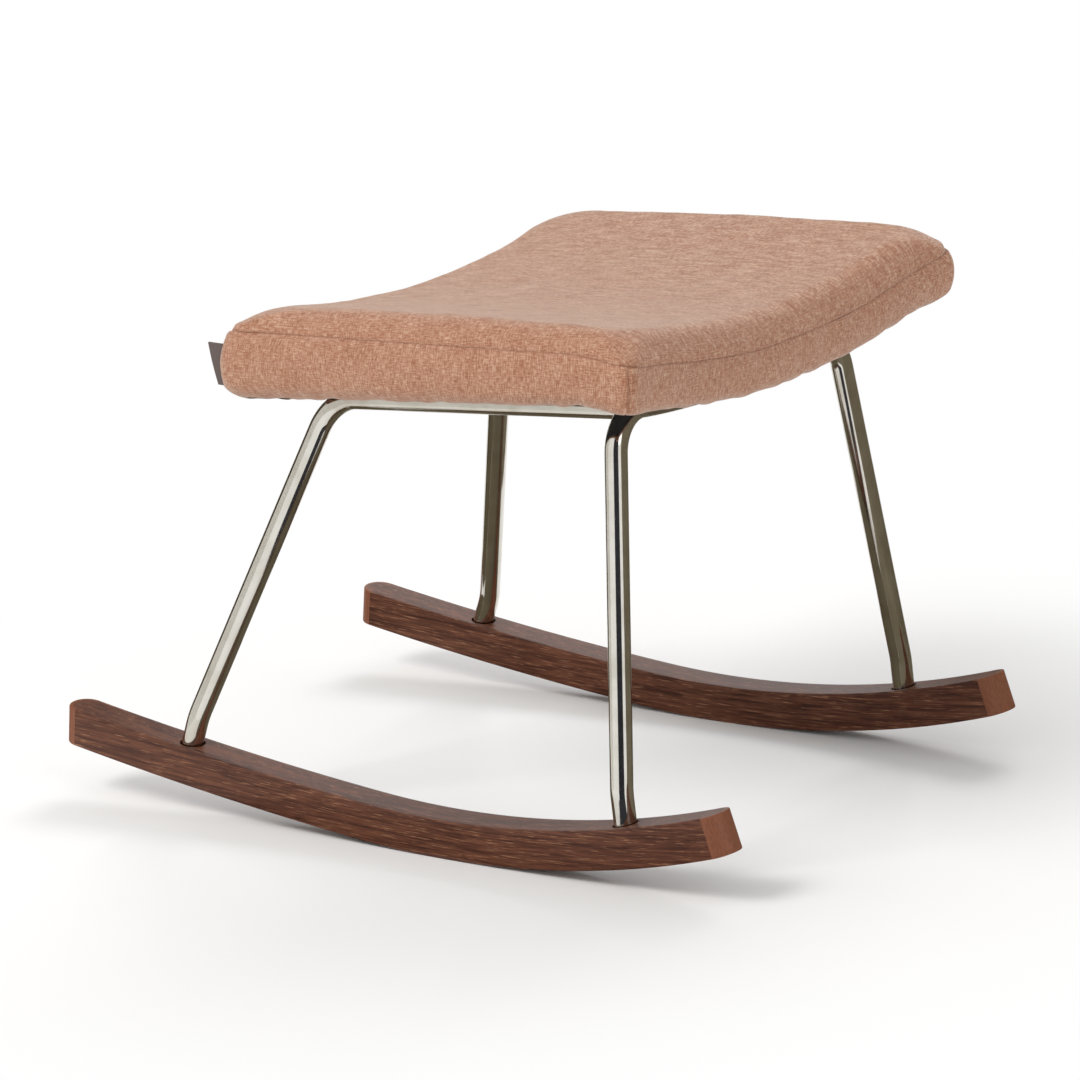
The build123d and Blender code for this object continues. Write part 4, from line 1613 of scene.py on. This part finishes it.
# ------------------------------------------------------------------------------ side tag
@dataclass
class SideTag:
    """A short bare ribbon, folded double and sewn into the rear right corner seam."""

    seat: SeatShape
    height: float = 0.034
    reach: float = 0.0092
    inside: float = 0.006
    ribbon: float = 0.0006
    gap: float = 0.0011
    above_edge: float = 0.009
    inset: float = 0.0045
    curl: float = 0.0018
    curl_along: float = 0.6
    lift: float = 0.0006
    slant: float = 0.0065
    fold_steps: int = 13
    height_steps: int = 25
    sharp: float = 40.0

    def _face(self, radius: float) -> Array:
        """One face of the ribbon in plan: out of the seam, round the fold and back.

        Args:
            radius: half the distance between the face's two runs.

        Returns:
            Points as how far out of the seam and how far along it.
        """
        run = self.reach - (self.gap / 2 + self.ribbon)
        bend = np.linspace(-math.pi / 2, math.pi / 2, self.fold_steps)
        start = np.array(((-self.inside, -radius), (run / 2, -radius)))
        fold = np.stack((run + radius * np.cos(bend), radius * np.sin(bend)), axis=-1)
        back = start[::-1] * np.array((1, -1))
        return np.concatenate((start, fold, back))

    def _wall(self) -> Array:
        """The ribbon's two faces in plan, carried up its height.

        It bows out by curl times the sine of the height's share, and its lower end slants inwards.

        Returns:
            Points as (row, column, 3), the outer face's columns and then the inner face's back.
        """
        outer, inner = self._face(self.gap / 2 + self.ribbon), self._face(self.gap / 2)
        out, along = np.concatenate((outer, inner[::-1])).T
        share = np.linspace(0, 1, self.height_steps)[:, None]
        seat = self.seat
        corner = seat.under(seat.rear_x, -(seat.half_width - self.inset), seat.lip)
        far = np.clip((out + self.inside) / (self.reach + self.inside), 0, 1)
        bow = self.curl * np.sin(math.pi * share) * far
        x = corner[0] - out + self.slant * (1 - share) + bow * self.curl_along
        y = corner[1] + along - bow
        z = corner[2] + (self.above_edge + self.height * share) + self.lift * far
        return np.stack((x, y, z), axis=-1)

    def build(self, finish: bpy.types.Material) -> bpy.types.Object:
        """The folded ribbon, with its lower and upper edges closed between the two faces.

        Args:
            finish: the ribbon's cloth.

        Returns:
            The finished piece.
        """
        wall = self._wall()
        rows, columns = wall.shape[:2]
        half = columns // 2
        edges = [np.concatenate((wall[[row], :half], wall[[row], :half - 1:-1])) for row in (0, -1)]
        points = np.concatenate([block.reshape(-1, 3) for block in (wall, *edges)])
        strip = grid_faces(2, half, wrap=False) + rows * columns
        faces = np.concatenate((grid_faces(rows, columns), strip, strip + 2 * half))
        flat = points[faces][..., (0, 2)]
        piece = mesh_piece("side_tag_ribbon", points, faces, sharp=self.sharp, cloth=flat)
        dress(piece, finish)
        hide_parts("side_tag")
        return piece


# ------------------------------------------------------------------------------ hardware
@dataclass
class Hardware:
    """The pieces under the seat and in the rockers that stay as they are and get a finish."""

    zinc: tuple = ("leg_end_plugs", "rocker_washers", "rocker_bolts", "seat_brackets", "seat_screws",
                   "tee_nuts", "cover_staples")
    plywood: tuple = ("seat_board",)

    def build(self, nodes: dict, zinc: bpy.types.Material, plywood: bpy.types.Material) -> None:
        """Give each node its finish.

        Args:
            nodes: the frame's nodes by name.
            zinc: the finish of what is plated.
            plywood: the finish of the board.
        """
        for names, finish in ((self.zinc, zinc), (self.plywood, plywood)):
            for name in names:
                mesh = nodes[name].data
                mesh.materials.clear()
                mesh.materials.append(finish)


# ------------------------------------------------------------------------------ studio
@dataclass(frozen=True)
class Lamp:
    """A soft rectangular lamp, with its power in watts."""

    name: str
    place: tuple
    size: tuple
    power: float
    colour: tuple

    def build(self, aim: tuple) -> None:
        """Hang the lamp, turned towards a place.

        Args:
            aim: the place.
        """
        data = bpy.data.lights.new(self.name, "AREA")
        data.shape, data.size, data.size_y = "RECTANGLE", *self.size
        data.energy, data.color = self.power, self.colour
        lamp = bpy.data.objects.new(self.name, data)
        lamp.location = self.place
        lamp.rotation_euler = (Vector(aim) - Vector(self.place)).to_track_quat("-Z", "Y").to_euler()
        bpy.context.scene.collection.objects.link(lamp)


@dataclass(frozen=True)
class Flag:
    """A curved screen that only the polished pieces mirror, as a flag beside the set.

    Its ends are directions about the object, in degrees from the camera's side towards the
    picture's right. Its section, as distances from the middle and heights, runs out along the floor
    and then straight up.
    """

    name: str
    start: float
    end: float
    colour: tuple
    section: tuple = ((0.30, 0.003), (0.62, 0.003), (0.62, 1.0))
    steps: int = 24
    hidden_from: tuple = ("camera", "diffuse", "shadow", "transmission", "volume_scatter")

    def build(self, azimuth: float) -> None:
        """Set the screen up: its section turned through its angles.

        Args:
            azimuth: the camera's direction about the object, in radians.
        """
        angle = np.radians(np.linspace(self.start, self.end, self.steps)) + azimuth - math.pi / 2
        circle = np.stack((np.cos(angle), np.sin(angle)), axis=-1)
        walls = [np.column_stack((circle * radius, np.full(self.steps, height)))
                 for radius, height in self.section]
        faces = grid_faces(len(self.section), self.steps, wrap=False)
        mesh = bpy.data.meshes.new(self.name)
        mesh.from_pydata(np.concatenate(walls).tolist(), [], faces.tolist())
        graph = MaterialGraph(self.name)
        graph.set(Base_Color=self.colour, Roughness=0.9, Specular_IOR_Level=0.0)
        mesh.materials.append(graph.material)
        flag = bpy.data.objects.new(self.name, mesh)
        for kind in self.hidden_from:
            setattr(flag, "visible_" + kind, False)
        bpy.context.scene.collection.objects.link(flag)


@dataclass
class Studio:
    """A pale floor and backdrop, soft lamps, and a camera where the photographer stood."""

    target: tuple = (0.02128, 0.0, 0.20445)
    distance: float = 3.730
    azimuth: float = 0.6820041
    elevation: float = 0.2559662
    roll: float = 0.0833176
    lens: float = 151.22
    sensor: float = 36.0
    clip: tuple = (0.1, 100.0)
    floor_reach: float = 12.0
    floor_fade: tuple = (0.36, 0.80)
    floor_colour: tuple = (0.955, 0.955, 0.955)
    white: tuple = (1.0, 1.0, 1.0)
    world_colour: tuple = (1.0, 0.995, 0.985)
    world_strength: float = 0.62
    flags: tuple = (
        # A dark disc on the floor under the stool that only reflections see: painted shade of the floor
        # under the seat, for the chrome to mirror.
        Flag("flag_under", -180.0, 180.0, srgb(104, 96, 80), ((0.0, 0.003), (0.30, 0.003))),
        Flag("flag_behind_left", -150.0, -104.0, srgb(92, 84, 68)),
        Flag("flag_left", -100.0, -60.0, srgb(232, 231, 227)),
        Flag("flag_front", -10.0, 18.0, srgb(58, 59, 66)),
        Flag("flag_right", 33.0, 148.0, srgb(122, 114, 98)),
    )
    lamp_aim: tuple = (0.05, 0.0, 0.25)
    lamps: tuple = (
        Lamp("key_lamp", (-1.2, -2.4, 3.2), (1.8, 1.4), 66.0, (1.0, 0.985, 0.96)),
        Lamp("fill_lamp", (3.4, -1.4, 2.2), (1.2, 1.8), 12.0, (1.0, 0.99, 0.97)),
        Lamp("rear_lamp", (-0.6, 2.8, 2.8), (2.0, 1.2), 40.0, (1.0, 1.0, 1.0)),
    )

    def camera(self) -> None:
        """The camera looks back along the direction that its azimuth and elevation give."""
        cos_a, sin_a = math.cos(self.azimuth), math.sin(self.azimuth)
        cos_e, sin_e = math.cos(self.elevation), math.sin(self.elevation)
        back = Vector((sin_a * cos_e, -cos_a * cos_e, sin_e))
        level = Vector((cos_a, sin_a, 0.0))
        steep = Vector((-sin_a * sin_e, cos_a * sin_e, cos_e))
        cos_r, sin_r = math.cos(self.roll), math.sin(self.roll)
        right = level * cos_r - steep * sin_r
        up = steep * cos_r + level * sin_r
        data = bpy.data.cameras.new("camera")
        data.lens, data.sensor_width, data.sensor_fit = self.lens, self.sensor, "HORIZONTAL"
        data.clip_start, data.clip_end = self.clip
        camera = bpy.data.objects.new("camera", data)
        turned = Matrix((right, up, back)).transposed().to_4x4()
        turned.translation = Vector(self.target) + back * self.distance
        camera.matrix_world = turned
        bpy.context.scene.collection.objects.link(camera)
        bpy.context.scene.camera = camera

    def _white_card(self) -> bpy.types.Material:
        """A pale floor that keeps the object's shadow near it, and is plain white further away.

        Far from the object a white that doesn't depend on the lamps takes over, for what looks at
        the floor directly or in a reflection.

        Returns:
            The material.
        """
        graph = MaterialGraph("studio_floor")
        graph.set(Base_Color=self.floor_colour, Roughness=0.85, Specular_IOR_Level=0.1)
        away = graph.make("ShaderNodeVectorMath", {"operation": "LENGTH"}, {0: graph.place()}, "Value")
        white = graph.make("ShaderNodeEmission", {}, {"Color": self.white, "Strength": 1.0})
        share = away.smooth(self.floor_fade) * graph.looked_at()
        graph.show(graph.make("ShaderNodeMixShader", {}, {0: share, 1: graph.surface(), 2: white}))
        return graph.material

    def floor(self) -> None:
        """A flat floor under the object."""
        reach = self.floor_reach
        corners = [(-reach, -reach, 0), (reach, -reach, 0), (reach, reach, 0), (-reach, reach, 0)]
        mesh = bpy.data.meshes.new("studio_floor")
        mesh.from_pydata(corners, [], [(0, 1, 2, 3)])
        mesh.materials.append(self._white_card())
        floor = bpy.data.objects.new("studio_floor", mesh)
        bpy.context.scene.collection.objects.link(floor)

    def world(self) -> None:
        """A soft light all round, plain white where it is looked at."""
        world = bpy.data.worlds.new("studio_world")
        world.use_nodes = True
        graph = Graph(world.node_tree, "ShaderNodeOutputWorld")
        shades = ((self.world_colour, self.world_strength), (self.white, 1.0))
        light, white = (graph.make("ShaderNodeBackground", {}, {"Color": colour, "Strength": strength})
                        for colour, strength in shades)
        graph.show(graph.make("ShaderNodeMixShader", {}, {0: graph.looked_at(), 1: light, 2: white}))
        bpy.context.scene.world = world

    def build(self) -> None:
        """Set everything up."""
        bpy.context.scene.view_settings.view_transform = "Standard"
        self.camera()
        self.floor()
        self.world()
        for flag in self.flags:
            flag.build(self.azimuth)
        for lamp in self.lamps:
            lamp.build(self.lamp_aim)


def main() -> None:
    """Build every sub-assembly in order, dress it and light it."""
    logging.basicConfig(level=logging.INFO, format="%(message)s")
    studio = Studio()
    studio.build()
    seat = SeatShape()
    rockers = {side: Rocker(side) for side in Side}
    tubes = TubeFrame(seat, rockers)
    walnut = WalnutFinish().build()
    pieces = [rockers[side].build(tubes.feet(side), walnut) for side in Side]
    pieces += tubes.build(ChromeFinish().build())
    pieces.append(Cushion(seat).build(ChenilleFinish().build()))
    pieces.append(DustCover(seat).build(DustClothFinish().build()))
    pieces.append(SideTag(seat).build(RibbonFinish().build()))
    Hardware().build(frame["nodes"], ZincFinish().build(), PlywoodFinish().build())
    for piece in pieces:
        LOG.info("%s: %d points, %d faces", piece.name, len(piece.data.vertices), len(piece.data.polygons))


if __name__ == "__main__":
    main()
